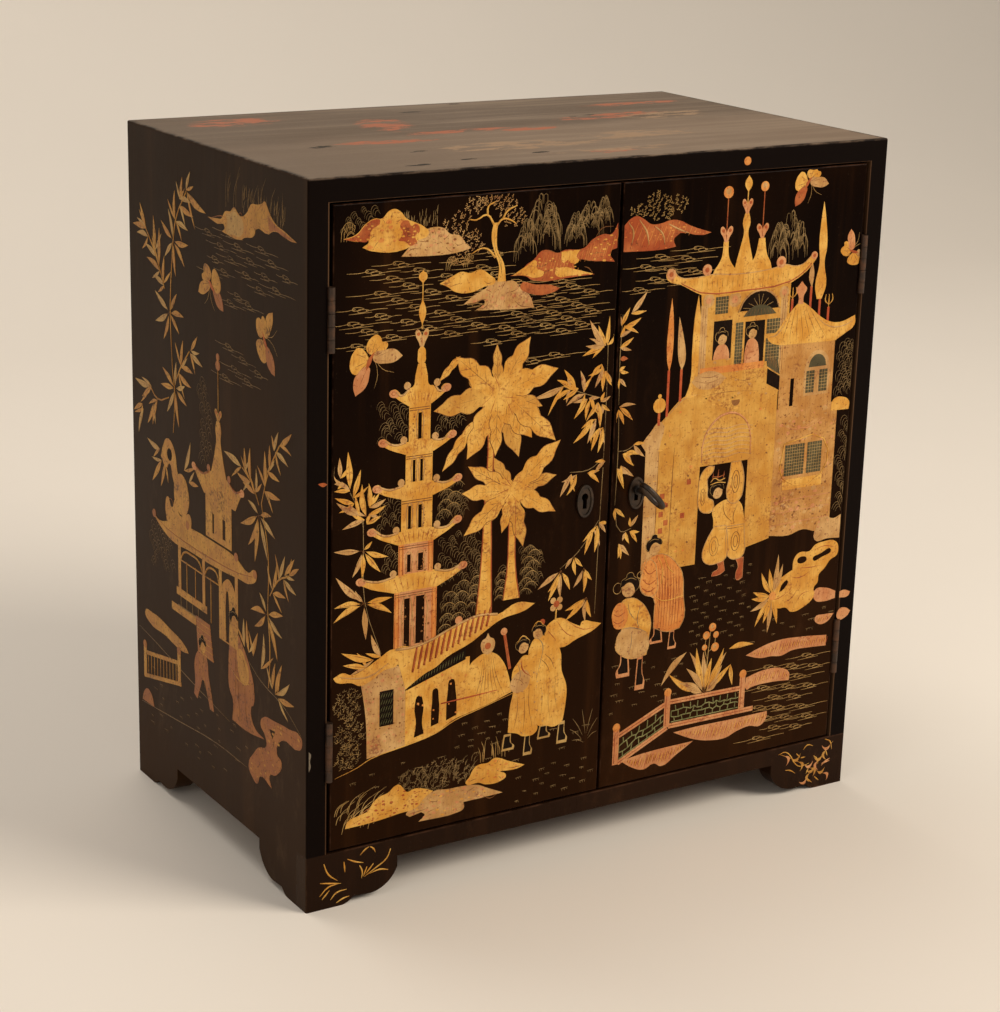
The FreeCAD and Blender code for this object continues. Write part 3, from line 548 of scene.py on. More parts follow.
def cut(outline, tone="gold", level=1, holes=(), soft=True):
    data = bpy.data.curves.new("cut", "CURVE")
    data.dimensions = "2D"
    data.fill_mode = "BOTH"
    sheet["cuts"] += 1
    tall = gilt["sink"] + gilt["thick"] + gilt["step"] * level + gilt["stagger"] * (sheet["cuts"] * 5 % 12)
    data.bevel_depth = gilt["rim"]
    data.bevel_resolution = 0
    data.extrude = tall / 2 - gilt["rim"]
    for loop in (outline, *holes):
        addSpline(data, loop, soft, True)
    bake(data, tone, Matrix.Translation((0, 0, tall / 2 - gilt["sink"])))


def draw(lines, width=0.5, tone="line", level=0, ends=taper):
    data = bpy.data.curves.new("draw", "CURVE")
    data.dimensions = "3D"
    data.fill_mode = "FULL"
    data.bevel_depth = width / 2
    data.bevel_resolution = 0
    data.use_fill_caps = True
    data.twist_mode = "Z_UP"
    for line in lines:
        if len(line) == 2:
            line = [line[0], ((line[0][0] + line[1][0]) / 2, (line[0][1] + line[1][1]) / 2), line[1]]
        radii = []
        for step in range(len(line)):
            along = step / (len(line) - 1)
            outer = ends[0] if along < 0.5 else ends[2]
            radii.append(outer + (ends[1] - outer) * (1 - abs(along - 0.5) * 2))
        addSpline(data, line, True, False, radii)
    lift = gilt["thick"] + gilt["step"] * (level - 1)
    bake(data, tone, Matrix.Translation((0, 0, lift)) @ Matrix.Diagonal((1, 1, gilt["flat"], 1)))


def hang():
    bm = sheet["bm"]
    bmesh.ops.remove_doubles(bm, verts=bm.verts, dist=gilt["weld"])
    bmesh.ops.recalc_face_normals(bm, faces=bm.faces)
    mesh = bpy.data.meshes.new(sheet["name"])
    bm.to_mesh(mesh)
    bm.free()
    mesh.transform(sheet["panel"]["face"])
    for tone in sheet["tones"]:
        mesh.materials.append(paints[tone])
    piece = bpy.data.objects.new(sheet["name"], mesh)
    bpy.context.scene.collection.objects.link(piece)
    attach(piece, sheet["panel"]["body"])
    print("gilt:", sheet["name"], len(mesh.polygons), "faces")


# single shapes

def arc(first, last, bow):
    du, dv = last[0] - first[0], last[1] - first[1]
    return [first, ((first[0] + last[0]) / 2 - dv * bow, (first[1] + last[1]) / 2 + du * bow), last]


def moved(points, at, turn=0.0, size=1.0, flip=1):
    c, s = math.cos(math.radians(turn)) * size, math.sin(math.radians(turn)) * size
    return [(at[0] + p[0] * flip * c - p[1] * s, at[1] + p[0] * flip * s + p[1] * c, *p[2:]) for p in points]


def disc(at, radius, tone="gold", level=2):
    cut(moved([(1, 0), (0, 1), (-1, 0), (0, -1)], at, 0, radius), tone, level)


def block(u0, u1, v0, v1, tone="gold", level=1, holes=()):
    rings = [[(a, c), (b, c), (b, d), (a, d)] for a, b, c, d in holes]
    cut([(u0, v0), (u1, v0), (u1, v1), (u0, v1)], tone, level, rings, False)


def beam(first, last, thick, tone="gold", level=1):
    run = Vector(last) - Vector(first)
    off = Vector((-run.y, run.x)).normalized() * thick / 2
    a, b = Vector(first), Vector(last)
    cut([tuple(a - off), tuple(b - off), tuple(b + off), tuple(a + off)], tone, level, (), False)


def turned(u, profile, tone="gold", level=2):
    right = [(u + p[0], *p[1:]) for p in profile]
    left = [(u - p[0], *p[1:]) for p in reversed(profile) if p[0] > 0]
    cut(right + left, tone, level)


def bud(u, v0, v1, half, tone="gold", level=2):
    tall = v1 - v0
    turned(u, [(half * 0.25, v0, 1), (half * 0.5, v0 + tall * 0.3), (half, v0 + tall * 0.72), (half * 0.78, v1),
                      (half * 0.28, v0 + tall * 0.86), (0, v0 + tall * 0.6, 1)], tone, level)
    for way in (-0.55, 0.55):
        disc((u + half * way, v0 + tall * 0.74), half * 0.24, "red", level + 1)
    draw([[(u, v0 + tall * 0.1), (u, v0 + tall * 0.55)]], half * 0.14, "red", level + 1)


def leaf(base, tip, wide=0.0, tone="gold", level=2, bend=0.05):
    b, t = Vector(base), Vector(tip)
    run = t - b
    wide = wide or min(5.0, 1.3 + run.length * 0.120)
    side = Vector((-run.y, run.x)).normalized()
    bow = side * run.length * bend
    near, far = b + run * 0.36 + bow, b + run * 0.70 + bow * 0.8
    cut([(*b, 1), tuple(near - side * wide / 2), tuple(far - side * wide * 0.34), (*t, 1),
                tuple(far + side * wide * 0.34), tuple(near + side * wide / 2)], tone, level)


leafMate = {"gold": "pale", "copper": "line", "pale": "gold"}  # every third leaf


def leaves(strokes, tone="gold", level=2, mates=False):
    for number, (tu, tv, bu, bv) in enumerate(strokes):
        leaf((bu, bv), (tu, tv), 0, tone if number % 3 else leafMate[tone], level, dice.uniform(-0.07, 0.07))
        if mates:  # a shorter leaf close beside it
            tip = moved([(tu - bu, tv - bv)], (bu, bv), 44 if number % 2 else -44, dice.uniform(0.65, 0.9))[0]
            leaf((bu, bv), tip, 2.2, tone if number % 3 != 1 else leafMate[tone], level - 1,
                 dice.uniform(-0.07, 0.07))
    draw([[(bu, bv), (bu + (tu - bu) * 0.85, bv + (tv - bv) * 0.85)] for tu, tv, bu, bv in strokes], 0.4, "brown",
         level + 1)


def spray(root, tips, tone="gold", level=2, wide=0.0):
    for number, tip in enumerate(tips):
        base = (root[0] + (tip[0] - root[0]) * 0.12, root[1] + (tip[1] - root[1]) * 0.12)
        leaf(base, tip, wide, tone if number % 3 else leafMate[tone], level, dice.uniform(-0.08, 0.08))
    draw([[root, (root[0] + (tip[0] - root[0]) * 0.85, root[1] + (tip[1] - root[1]) * 0.85)] for tip in tips], 0.4,
         "brown", level + 1)


def frond(tip, base, wide, tone="gold", level=2, notches=3):
    b, t = Vector(base), Vector(tip)
    run = t - b
    side = Vector((-run.y, run.x)).normalized()
    right, left = [], []
    for step in range(1, notches + 1):
        for along, part, flag in ((step - 0.35, 1.0, ()), (step + 0.12, 0.70, (1,))):
            share = along / (notches + 0.6)
            half = wide / 2 * math.sin(math.pi * share ** 0.85) ** 0.7 * part
            right.append((*(b + run * share - side * half), *flag))
            left.append((*(b + run * (share + 0.03) + side * half), *flag))
    outline = [(*b, 1), *right, (*t, 1), *reversed(left)]
    cut(outline, tone, level)
    draw([outline[2:-2]], 0.5, "brown", level + 0.5, even)
    ribs = [[tuple(b + run * 0.15), tuple(b + run * 0.9)]]
    for share in (0.32, 0.52, 0.68):
        for way in (-1, 1):
            ribs.append([tuple(b + run * share), tuple(b + run * (share + 0.13) + side * way * wide * 0.28)])
    draw(ribs, 0.36, "brown", level + 1)
    draw([[tuple(b + run * 0.08 - side * wide * 0.16), tuple(b + run * 0.3 - side * wide * 0.44)]], 0.5, "red",
         level + 1)


def rock(outline, tone="gold", level=1, crease="brown", holes=()):
    cut(outline, tone, level, holes)
    middle = Vector((sum(p[0] for p in outline), sum(p[1] for p in outline))) / len(outline)
    lines = []
    for point in outline[::2]:
        start = Vector(point[:2]).lerp(middle, 0.10)
        stop = Vector(point[:2]).lerp(middle, dice.uniform(0.35, 0.6))
        lines.append(arc(tuple(start), tuple(stop), dice.uniform(-0.25, 0.25)))
    if not holes:
        draw(lines, 0.55, crease, level + 1)


def hatch(outline, step, tone, level, slant, width):
    edge = [p[:2] for p in outline]
    left, right, margin = min(p[0] for p in edge), max(p[0] for p in edge), 0.6
    lines = []
    for k in range(1, int((right - left) / step) + 1):
        u = left + k * step + dice.uniform(-0.2, 0.2) * step
        hits = []
        for (a, b), (c, d) in zip(edge, edge[1:] + edge[:1]):
            if (a > u) != (c > u):
                hits.append(b + (d - b) * (u - a) / (c - a))
        hits.sort()
        for low, high in zip(hits[::2], hits[1::2]):
            if high - low > 3 * margin:
                top = high - margin - dice.uniform(0, 0.25) * (high - low)
                foot = low + margin + dice.uniform(0, 0.25) * (high - low)
                lines.append([(u, foot), (u + slant * (top - foot), top)])
    if lines:
        draw(lines, width, tone, level)


def ring(at, wide, tall, parts=8):
    turns = [k * 2 * math.pi / parts for k in range(parts + 1)]
    return [(at[0] + wide * math.cos(turn), at[1] + tall * math.sin(turn)) for turn in turns]


def within(at, edge):
    odd = False
    for (a, b), (c, d) in zip(edge, edge[1:] + edge[:1]):
        if (b > at[1]) != (d > at[1]) and at[0] < a + (c - a) * (at[1] - b) / (d - b):
            odd = not odd
    return odd


def dabs(outline, count, size, tone, level, stretch=1.0):
    edge = [p[:2] for p in outline]
    low, high = [min(p[k] for p in edge) for k in (0, 1)], [max(p[k] for p in edge) for k in (0, 1)]
    blots, taken = [], []
    for _ in range(count):
        at, reach = (dice.uniform(low[0], high[0]), dice.uniform(low[1], high[1])), size * dice.uniform(0.4, 1.2)
        blot = [(u + dice.uniform(-0.3, 0.3) * reach, v + dice.uniform(-0.3, 0.3) * reach) for u,
                v in ring(at, reach * stretch, reach, 6)[:-1]]
        apart = all(abs(at[0] - u) > (reach + r) * stretch * 1.3 or abs(at[1] - v) > (reach + r) * 1.3 for u, v,
                    r in taken)
        if apart and all(within(p, edge) for p in blot):
            blots.append(blot)
            taken.append((*at, reach))
    if blots:
        cut(blots[0], tone, level, blots[1:], False)


def lattice(u0, u1, v0, v1, level=2, step=2.2):
    block(u0, u1, v0, v1, "olive", level)
    across, up = max(2, round((u1 - u0) / step)), max(2, round((v1 - v0) / step))
    lines = []
    for k in range(1, across):
        u = u0 + (u1 - u0) * k / across
        lines.append([(u, v0), (u, v1)])
    for k in range(1, up):
        v = v0 + (v1 - v0) * k / up
        lines.append([(u0, v), (u1, v)])
    draw(lines, 0.35, "line", level + 1, even)


# line work

def water(u0, u1, v0, v1, count, tone="line"):
    lines = []
    for k in range(count):
        u = u0 + 10 + (k * spread + dice.uniform(0, 0.06)) % 1 * (u1 - u0 - 20)
        v, reach = v0 + (k + 0.5) / count * (v1 - v0), dice.uniform(7, 19)
        lines += [[(u - 3.4 - reach, v + 0.2), (u - 3.4 - reach * 0.4, v - 0.1), (u - 3.4, v + 0.4)],
                  [(u + 6.6, v - 0.9), (u + 6.6 + reach * 0.5, v - 0.5), (u + 6.6 + reach, v - 0.7)],
                  [(u - reach * 0.5, v - 2.2), (u + reach * 0.7, v - 2.0)]]
        lines += [ring(at, wide, tall, 4) for at, wide, tall in (((u, v + 0.6), 4.0, 0.9),
                  ((u + 3.4, v - 0.8), 3.8, 0.8), ((u - 2.8, v + 0.6), 0.9, 0.45), ((u + 6.0, v - 0.8), 0.9, 0.4))]
    draw(lines, 0.34, tone, 0, (0.7, 1, 0.7))


def plume(at, size, count, lean):
    crests, hairs = [], []
    for k in range(count):
        u, v = at[0] + lean * k * size, at[1] + k * size * 0.62
        over = [(u + size * s, v + size * 0.5 * math.sin(math.pi * (0.10 + 0.80 * s))) for s in (0, 0.33, 0.67, 1)]
        crests.append(over)
        for s in range(1, 9):
            top = (u + size * s / 9, v + size * 0.5 * math.sin(math.pi * (0.10 + 0.80 * s / 9)))
            hairs.append([top, (top[0] - size * 0.07, top[1] - size * dice.uniform(0.18, 0.34))])
    draw(crests, 0.5, "line", 1, (0.3, 1, 0.3))
    draw(hairs, 0.34, "dim", 0)


def willow(at, reach, tall, count=14):
    strands = []
    for k in range(count):
        share, drop = dice.uniform(0.2, 1), tall * dice.uniform(0.25, 0.6)
        out, top = reach * share * (1 if k % 2 else -1), at[1] + tall * (1.05 - 0.45 * share * share)
        strands.append([(at[0] + out * 0.1, top - tall * 0.16), (at[0] + out * 0.5, top),
                       (at[0] + out * 0.9, top - drop * 0.3), (at[0] + out * 1.05, top - drop)])
    draw(strands, 0.36, "dim", 0, (0.6, 1, 0.6))


def grass(u0, u1, v0, v1, count, length=7.0, lean=0.0, tone="dim", width=0.45):
    lines = []
    for _ in range(count):
        u, v, tall = dice.uniform(u0, u1), dice.uniform(v0, v1), length * dice.uniform(0.5, 1.1)
        bend = tall * (lean + dice.uniform(-0.15, 0.25))
        lines.append([(u, v), (u + bend * 0.22, v + tall * 0.6), (u + bend, v + tall)])
    draw(lines, width, tone, 0, (0.8, 1.0, 0.3))


def foliage(u0, u1, v0, v1, count, size=6.0, tone="dim", width=0.6):
    blades = []
    for k in range(count):
        u = u0 + (k * spread + dice.uniform(0, 0.1)) % 1 * (u1 - u0)
        v, turn, reach = v0 + (k + 0.2) / count * (v1 - v0), dice.uniform(-20, 25), size * dice.uniform(0.7, 1.1)
        for blade in range(3):  # a tuft of blades that bend over to one side
            over = [(0, 0), (0.12, 0.62), (0.5, 0.86), (0.95, 0.50 - 0.10 * blade)]
            blades.append(moved(over, (u + blade * reach * 0.24, v - blade * reach * 0.16), turn,
                          reach * (1 - 0.15 * blade)))
    draw(blades, width * 0.44, tone, 0, (0.6, 1, 0.4))


def flecks(u0, u1, v0, v1, count, size=2.4, tone="line", width=0.8):
    lines = []
    for k in range(count):
        at = (u0 + (k * spread + dice.uniform(0, 0.15)) % 1 * (u1 - u0),
              v0 + (k + dice.uniform(0, 1)) / count * (v1 - v0))
        turn = dice.uniform(0, 120)
        if ((at[0] - (u0 + u1) / 2) / (u1 - u0)) ** 2 + ((at[1] - (v0 + v1) / 2) / (v1 - v0)) ** 2 > 0.25:
            continue  # outside the clump
        for fan in (0, 70, 140):
            lines.append(moved([(0.3, 0), (size * dice.uniform(0.5, 0.8), 0)], at, turn + fan))
    draw(lines, width, tone, 0, (0.6, 1.0, 0.4))


def arches(spots):
    lines = []
    for u, v, size in spots:
        for layer in range(3):
            top = size * (1 - 0.24 * layer)
            foot = u + layer * size * 0.16
            over = [(foot, v), (foot + top * 0.12, v + top * 0.75), (foot + top * 0.45, v + top),
                    (foot + top * 0.85, v + top * 0.78)]
            lines.append(over)
            for (a, b), (c, d) in zip(over[1:], over[2:]):
                for share in (0.1, 0.45, 0.8):
                    at = (a + (c - a) * share, b + (d - b) * share)
                    lines.append([at, (at[0] + top * 0.05, at[1] - top * 0.2)])
    draw(lines, 0.38, "line", 0, (0.8, 1, 0.4))


def fringe(u0, u1, v0, v1, count, tone="dim"):
    lines = []
    for k in range(count):
        u = u0 + (k * spread + dice.uniform(0, 0.1)) % 1 * (u1 - u0)
        v, reach = v0 + (k + 0.5) / count * (v1 - v0), dice.uniform(3, 7)
        lines.append([(u, v), (u + reach, v + dice.uniform(-0.4, 0.6))])
        for tick in range(3):
            foot = u + reach * (tick + 0.5) / 3
            lines.append([(foot, v), (foot + 0.3, v - dice.uniform(0.8, 1.6))])
    draw(lines, 0.36, tone, 0)


# figures and creatures of plain generic design

wings = [
    {"tone": 0, "shape": [(-2, 5), (-2, 10), (2, 14), (4.5, 14.5), (7, 12.5), (8, 10), (11, 9.5), (11, 6), (7, 4.5),
        (2, 3)]},
    {"tone": 1, "shape": [(2, 0), (3, 4), (9, 5), (16, 5), (21.5, 0.5, 1), (16.5, -2.5), (10, -3), (4, -2)]},
    {"tone": 0, "shape": [(-1, 0.5), (-3.5, 5.5), (-8, 8), (-11, 5.5), (-13, 1), (-13, -4.5), (-10.5, -7.5),
        (-5.5, -7.5), (-2, -3)]},
    {"tone": 2, "shape": [(-1, -4), (-9, -8), (-11, -15), (-9.5, -20.5, 1), (-3, -16), (-0.5, -9)]},
]


def butterfly(at, turn=0.0, size=1.0, flip=1, tints=("gold", "pale", "rose")):
    for wing in wings:
        shape = moved(wing["shape"], at, turn, size, flip)
        cut(shape, tints[wing["tone"]])
        tips = [Vector(p[:2]) for p in shape[1:-1:2]]
        veins = [[tuple(p.lerp(Vector(at), 0.75)), tuple(p.lerp(Vector(at), 0.22))] for p in tips]
        draw(veins, 0.45, "brown", 2)
    tail, brow = moved([(-2.5, -6), (3, 5)], at, turn, size, flip)
    leaf(tail, brow, 2.6 * size, "red", 3)
    feelers = [[(2, 3), (8, -6), (16, -9)], [(2, 3), (5, -9), (3, -17)]]
    draw([moved(f, at, turn, size, flip) for f in feelers], 0.4, "line", 0)


def head(at, radius, level=3, flip=1, skin="pale"):
    cut(moved([(-0.85, 0.1), (-0.6, -0.75), (0, -1), (0.65, -0.7), (0.88, 0.1), (0.6, 0.8), (0, 1), (-0.6, 0.8)], at,
        0, radius, flip), skin, level)
    locks = moved([(-0.85, -0.45), (-1.25, 0.0), (-1.15, 0.8), (-0.6, 1.15), (-0.35, 1.6), (0.3, 1.55), (0.4, 1.2),
                  (0.95, 0.95), (1.1, 0.3), (0.75, 0.3), (0.2, 0.6), (-0.35, 0.45), (-0.65, 0.0)], at, 0, radius,
                  flip)
    cut(locks, "dark", level + 1)
    draw([locks[:9], moved([(-0.9, 0.75), (-0.2, 1.05), (0.6, 0.9)], at, 0, radius, flip)], 0.4, "line", level + 2,
         (0.8, 1, 0.8))
    marks = [[(-0.45, 0.05), (-0.15, 0.08)], [(0.2, 0.08), (0.5, 0.05)], [(0.05, 0), (0.0, -0.35)],
             [(-0.2, -0.6), (0.25, -0.6)]]
    draw([moved(m, at, 0, radius, flip) for m in marks], 0.32, "brown", level + 1, even)


def folds(lines, level=3, tone="brown", width=0.5):
    draw(lines, width, tone, level)


def boot(u0, u1, v0, v1, tone="line"):
    tall, wide = v1 - v0, u1 - u0
    shape = [(0.25, 1.0, 1), (0.75, 1.0, 1), (0.78, 0.45), (1.0, 0.22), (0.95, 0, 1), (0.1, 0, 1), (0.15, 0.4)]
    for shrink, paint, level in ((1.0, tone, 2), (0.72, "dark", 3)):
        cut([(u0 + wide * (0.5 + (p[0] - 0.5) * shrink), v0 + tall * (0.5 + (p[1] - 0.5) * shrink),
            *p[2:]) for p in shape], paint, level)


def roof(tips, bed, ridge, tone="gold", trim="pale"):
    level, knob = 2, 2.7
    left, right, rim = tips
    bedLeft, bedRight, floor = bed
    ridgeLeft, ridgeRight, crest = ridge
    dip = min(rim, crest) - 0.8
    cut([(bedRight, floor, 1), (right - 3, rim - 2.2), (right + 0.5, rim + 1.2), (right - 1.5, rim + 3.2),
        (right - 5, rim + 1.2), ((right + ridgeRight) / 2, dip), (ridgeRight, crest, 1), (ridgeLeft, crest, 1),
        ((left + ridgeLeft) / 2, dip), (left + 5, rim + 1.2), (left + 1.5, rim + 3.2), (left - 0.5, rim + 1.2),
        (left + 3, rim - 2.2), (bedLeft, floor, 1)], tone, level)
    for end, inner, way in ((left, ridgeLeft, 1), (right, ridgeRight, -1)):
        draw([[(end + 3 * way, rim + 1.4), ((end + inner) / 2, dip - 0.3), (inner - way, crest - 0.4)]], 1.7, trim,
             level + 1, (0.8, 1, 0.8))
        cut([(end + 5 * way, rim - 0.6), (end + 1.5 * way, rim - 1.8), (end - 1.6 * way, rim + 0.4),
            (end - 0.6 * way, rim + knob), (end + 2.6 * way, rim + knob), (end + 4.4 * way, rim + 1.4)], "rose",
            level + 2)
        draw([ring((end + 1.3 * way, rim + 0.8), 1.3, 1.1)], 0.45, "red", level + 3)
        disc((inner - 2.6 * way, crest + 1.4), knob * 0.85, trim, level + 2)
    tiles = []
    for k in range(1, 9):
        share = k / 9
        tiles.append([(bedLeft + (bedRight - bedLeft) * share, floor + 0.8),
                      (bedLeft - 4 + (bedRight - bedLeft + 8) * share, max(rim, crest) - 2.2)])
    draw(tiles, 0.45, "red", level + 1)


print("drawing kit ready")


# left door

leftSky = {
    "peak": [(-187.4, 413.6, 1), (-179.2, 415.8), (-173.5, 421.2), (-167.7, 424), (-162.7, 423.7), (-158.8, 427.3),
        (-154.8, 428.6), (-150.5, 426.6), (-146.9, 422.6), (-140.5, 419.7), (-135.4, 417.2), (-131.9, 412.9),
        (-140, 409), (-146.9, 405), (-169.2, 405.4), (-175.3, 407.9, 1), (-171.3, 411.5), (-178.5, 411.5)],
    "flush": [[(-187, 413.4, 1), (-179, 415.4), (-173.5, 420.6), (-167.7, 423.4), (-164, 422.5), (-170, 417),
        (-171.5, 411.7), (-178.5, 411.7)], [(-152, 410, 1), (-149, 415), (-151, 419), (-146, 421.4), (-143.5, 418),
        (-140.5, 419.2), (-138, 414.5), (-141, 412), (-139.5, 408.5, 1), (-144, 406.5), (-147, 409)]],
    "cliff": [(-149.8, 400.7, 1), (-145.5, 405), (-140.5, 409.3), (-136.9, 413.6), (-129, 416.2), (-121.8, 415.1),
        (-117.5, 411.5), (-111, 410), (-106.7, 405), (-103, 402, 1), (-113.9, 400), (-131.9, 399.7)],
    "isle": [(-124, 382.8, 1), (-115.4, 386.4), (-109.6, 388.5), (-103, 387.3), (-96.7, 388.9), (-90.5, 385.5),
        (-86, 380.6), (-93, 378.5), (-103, 375.6), (-114, 377.2), (-118, 380)],
    "paleIsle": [(-107.5, 369, 1), (-100, 374), (-92.8, 377), (-87.8, 380.6), (-78.5, 380.3), (-72.7, 379.9),
        (-68.4, 375.6), (-61.3, 369.9), (-58.4, 362.7, 1), (-74.9, 363), (-98.9, 364.9, 1), (-92.8, 369.5),
        (-100, 369)],
    "ridge": [(-75.6, 383.2, 1), (-69.2, 385), (-64, 389.3), (-59.8, 391.4), (-54.1, 396.4), (-48.4, 396.4),
        (-42.6, 394.3), (-37.6, 395.7), (-24, 395.7), (-17.5, 400.7), (-9.6, 403.2), (-3.9, 402.9), (0.4, 409.3, 1),
        (0.4, 394, 1), (-4.6, 391.8), (-1, 385.7, 1), (-15.4, 387.1), (-31, 386.4), (-15.4, 379.2, 1), (-29, 378.9),
        (-59.8, 379.2), (-64.9, 382.1)],
    "ridgeGold": [[(-74, 383.4, 1), (-64, 388.5), (-58, 391), (-57, 386), (-52, 383), (-58, 380.6), (-65, 382.6)],
        [(-40, 394.6, 1), (-37, 395), (-26.5, 395, 1), (-29, 391), (-27, 388.5), (-33, 387.6), (-35, 389.5),
        (-38.5, 388)], [(-44, 383), (-38, 385.4), (-32, 384), (-18, 380, 1), (-34, 379.8), (-42, 380)]],
    "spit": [(-68.4, 377.1), (-57, 376.3), (-46.9, 375.3), (-40.5, 372.8, 1), (-44, 371), (-61.3, 371.3)],
    "trunk": [(-84.6, 380.4, 1), (-83.8, 390), (-87, 398), (-89.4, 408), (-88.2, 415.6, 1), (-85.2, 415.8, 1),
        (-85.8, 408), (-85, 399.5), (-80.4, 391), (-78.8, 380.4, 1)],
    "branches": [[(-88, 415), (-92.8, 420.8), (-100, 418.3), (-105, 419)],
        [(-92.5, 420.5), (-92, 425.8), (-87.8, 428)], [(-86, 414), (-82, 417.6), (-76.3, 416.5), (-72.7, 414.4)],
        [(-86.5, 395), (-91, 400), (-96, 401.3), (-103, 398.5)], [(-82, 417.5), (-79, 422), (-72, 425)]],
}


def gildLeftSky():
    newSheet("gilt_left_sky", "left")
    plan = leftSky
    water(-191, -75, 350, 399, 30)
    water(-98, -4, 344, 380, 24)
    arches([(-120, 390, 8), (-108, 391, 8), (-189, 412, 11)])
    for at, reach, tall in (((-64, 388), 10, 28), ((-54, 392), 13, 38), ((-48, 394), 9, 30), ((-30, 394), 8, 24),
                            ((-20, 398), 10, 26), ((-10, 402), 7, 24)):
        willow(at, reach, tall, 16)
        willow(at, reach * 0.8, tall * 0.7)
    water(-70, -24, 329, 333, 2)
    rock(plan["cliff"], "pale", 1)
    rock(plan["peak"], "gold", 2)
    for flush in plan["flush"]:
        cut(flush, "red", 3)
    rock(plan["paleIsle"], "pale", 1)
    rock(plan["isle"], "gold", 2)
    cut(plan["spit"], "red", 2)
    rock(plan["ridge"], "red", 1)
    for patch in plan["ridgeGold"]:
        cut(patch, "gold", 2)
    hatch(plan["ridge"], 2.6, "amber", 3, 0.3, 0.5)
    hatch(plan["paleIsle"], 4.2, "rose", 2, 0.4, 0.5)
    dabs(plan["peak"], 60, 1.3, "amber", 3, 1.6)
    for flush in plan["flush"]:
        dabs(flush, 60, 0.5, "gold", 4, 2.2)
    dabs(plan["cliff"], 70, 0.9, "rose", 2, 1.5)
    dabs(plan["cliff"], 40, 0.6, "brown", 2, 1.5)
    dabs(plan["paleIsle"], 60, 0.9, "rose", 2, 1.5)
    dabs(plan["ridge"], 150, 0.55, "gold", 3, 2.4)
    cut(plan["trunk"], "gold", 3)
    draw([[(-83, 381), (-82, 391), (-86.6, 400), (-87.6, 414)], [(-81, 381), (-82.6, 390), (-85.6, 398)]], 0.5,
         "dark", 4)
    draw(plan["branches"], 1.5, "gold", 2, (1.0, 0.8, 0.4))
    for area in ((-122, -102, 411, 424, 34), (-108, -93, 422, 432, 26), (-97, -84, 426, 432, 18),
                 (-89, -71, 422, 432, 32), (-85, -65, 412, 424, 36), (-122, -104, 405, 413, 22),
                 (-106, -94, 406, 413, 14), (-110, -94, 399, 407, 18), (-118, -103, 392, 400, 16)):
        flecks(*area, 2.0, "pale", 0.55)
    foliage(-190, -169, 417, 429, 10, 5)
    grass(-150, -126, 416, 424, 42, 5)
    hang()


leftPagoda = {
    "axis": -135.2,
    "finial": [[(0, 384, 1), (2.2, 387), (1.6, 389), (0, 392, 1)], [(0, 359.5, 1), (2.4, 367), (0, 375, 1)],
        [(2.0, 337), (2.7, 341), (1.4, 346)]],
    "ball": (388, 2.9), "bud": (346, 357, 4.4),
    "spire": [(9.0, 322, 1), (5.2, 323.5), (4.2, 329), (2.4, 336.5, 1)],
    "tiers": [
        {"tips": (-155, -116.5, 319.5), "bed": (-143.7, -127.9, 311.7), "ridge": (-142, -127, 322.6), "foot": 289,
            "slits": [(-136.9, -134.4, 291, 307)]},
        {"tips": (-162, -112, 290.5), "bed": (-145.5, -126, 282.4), "ridge": (-143.9, -127.7, 290), "foot": 263,
         "slits": [(-140.1, -138.2, 265, 278.5), (-135, -133.1, 265, 278.5)]},
        {"tips": (-165.5, -107.5, 263), "bed": (-148, -125.6, 255.2), "ridge": (-145.2, -126.3, 264), "foot": 234,
         "slits": [(-142.8, -140.7, 236, 250.4), (-135.8, -133.3, 236, 250.4)]},
        {"tips": (-168.8, -107, 236.8), "bed": (-149.6, -124.5, 226.9), "ridge": (-148.2, -125.4, 235), "foot": 207,
         "slits": [(-143, -140.5, 209, 220.1), (-135.4, -131.9, 209, 220.1)]},
        {"tips": (-176, -102.5, 207), "bed": (-152, -121.4, 197.1), "ridge": (-149.8, -124.3, 208), "foot": 159,
         "slits": [(-144.6, -140.6, 161.5, 192.5), (-136.4, -130.4, 162.5, 193)]},
    ],
}


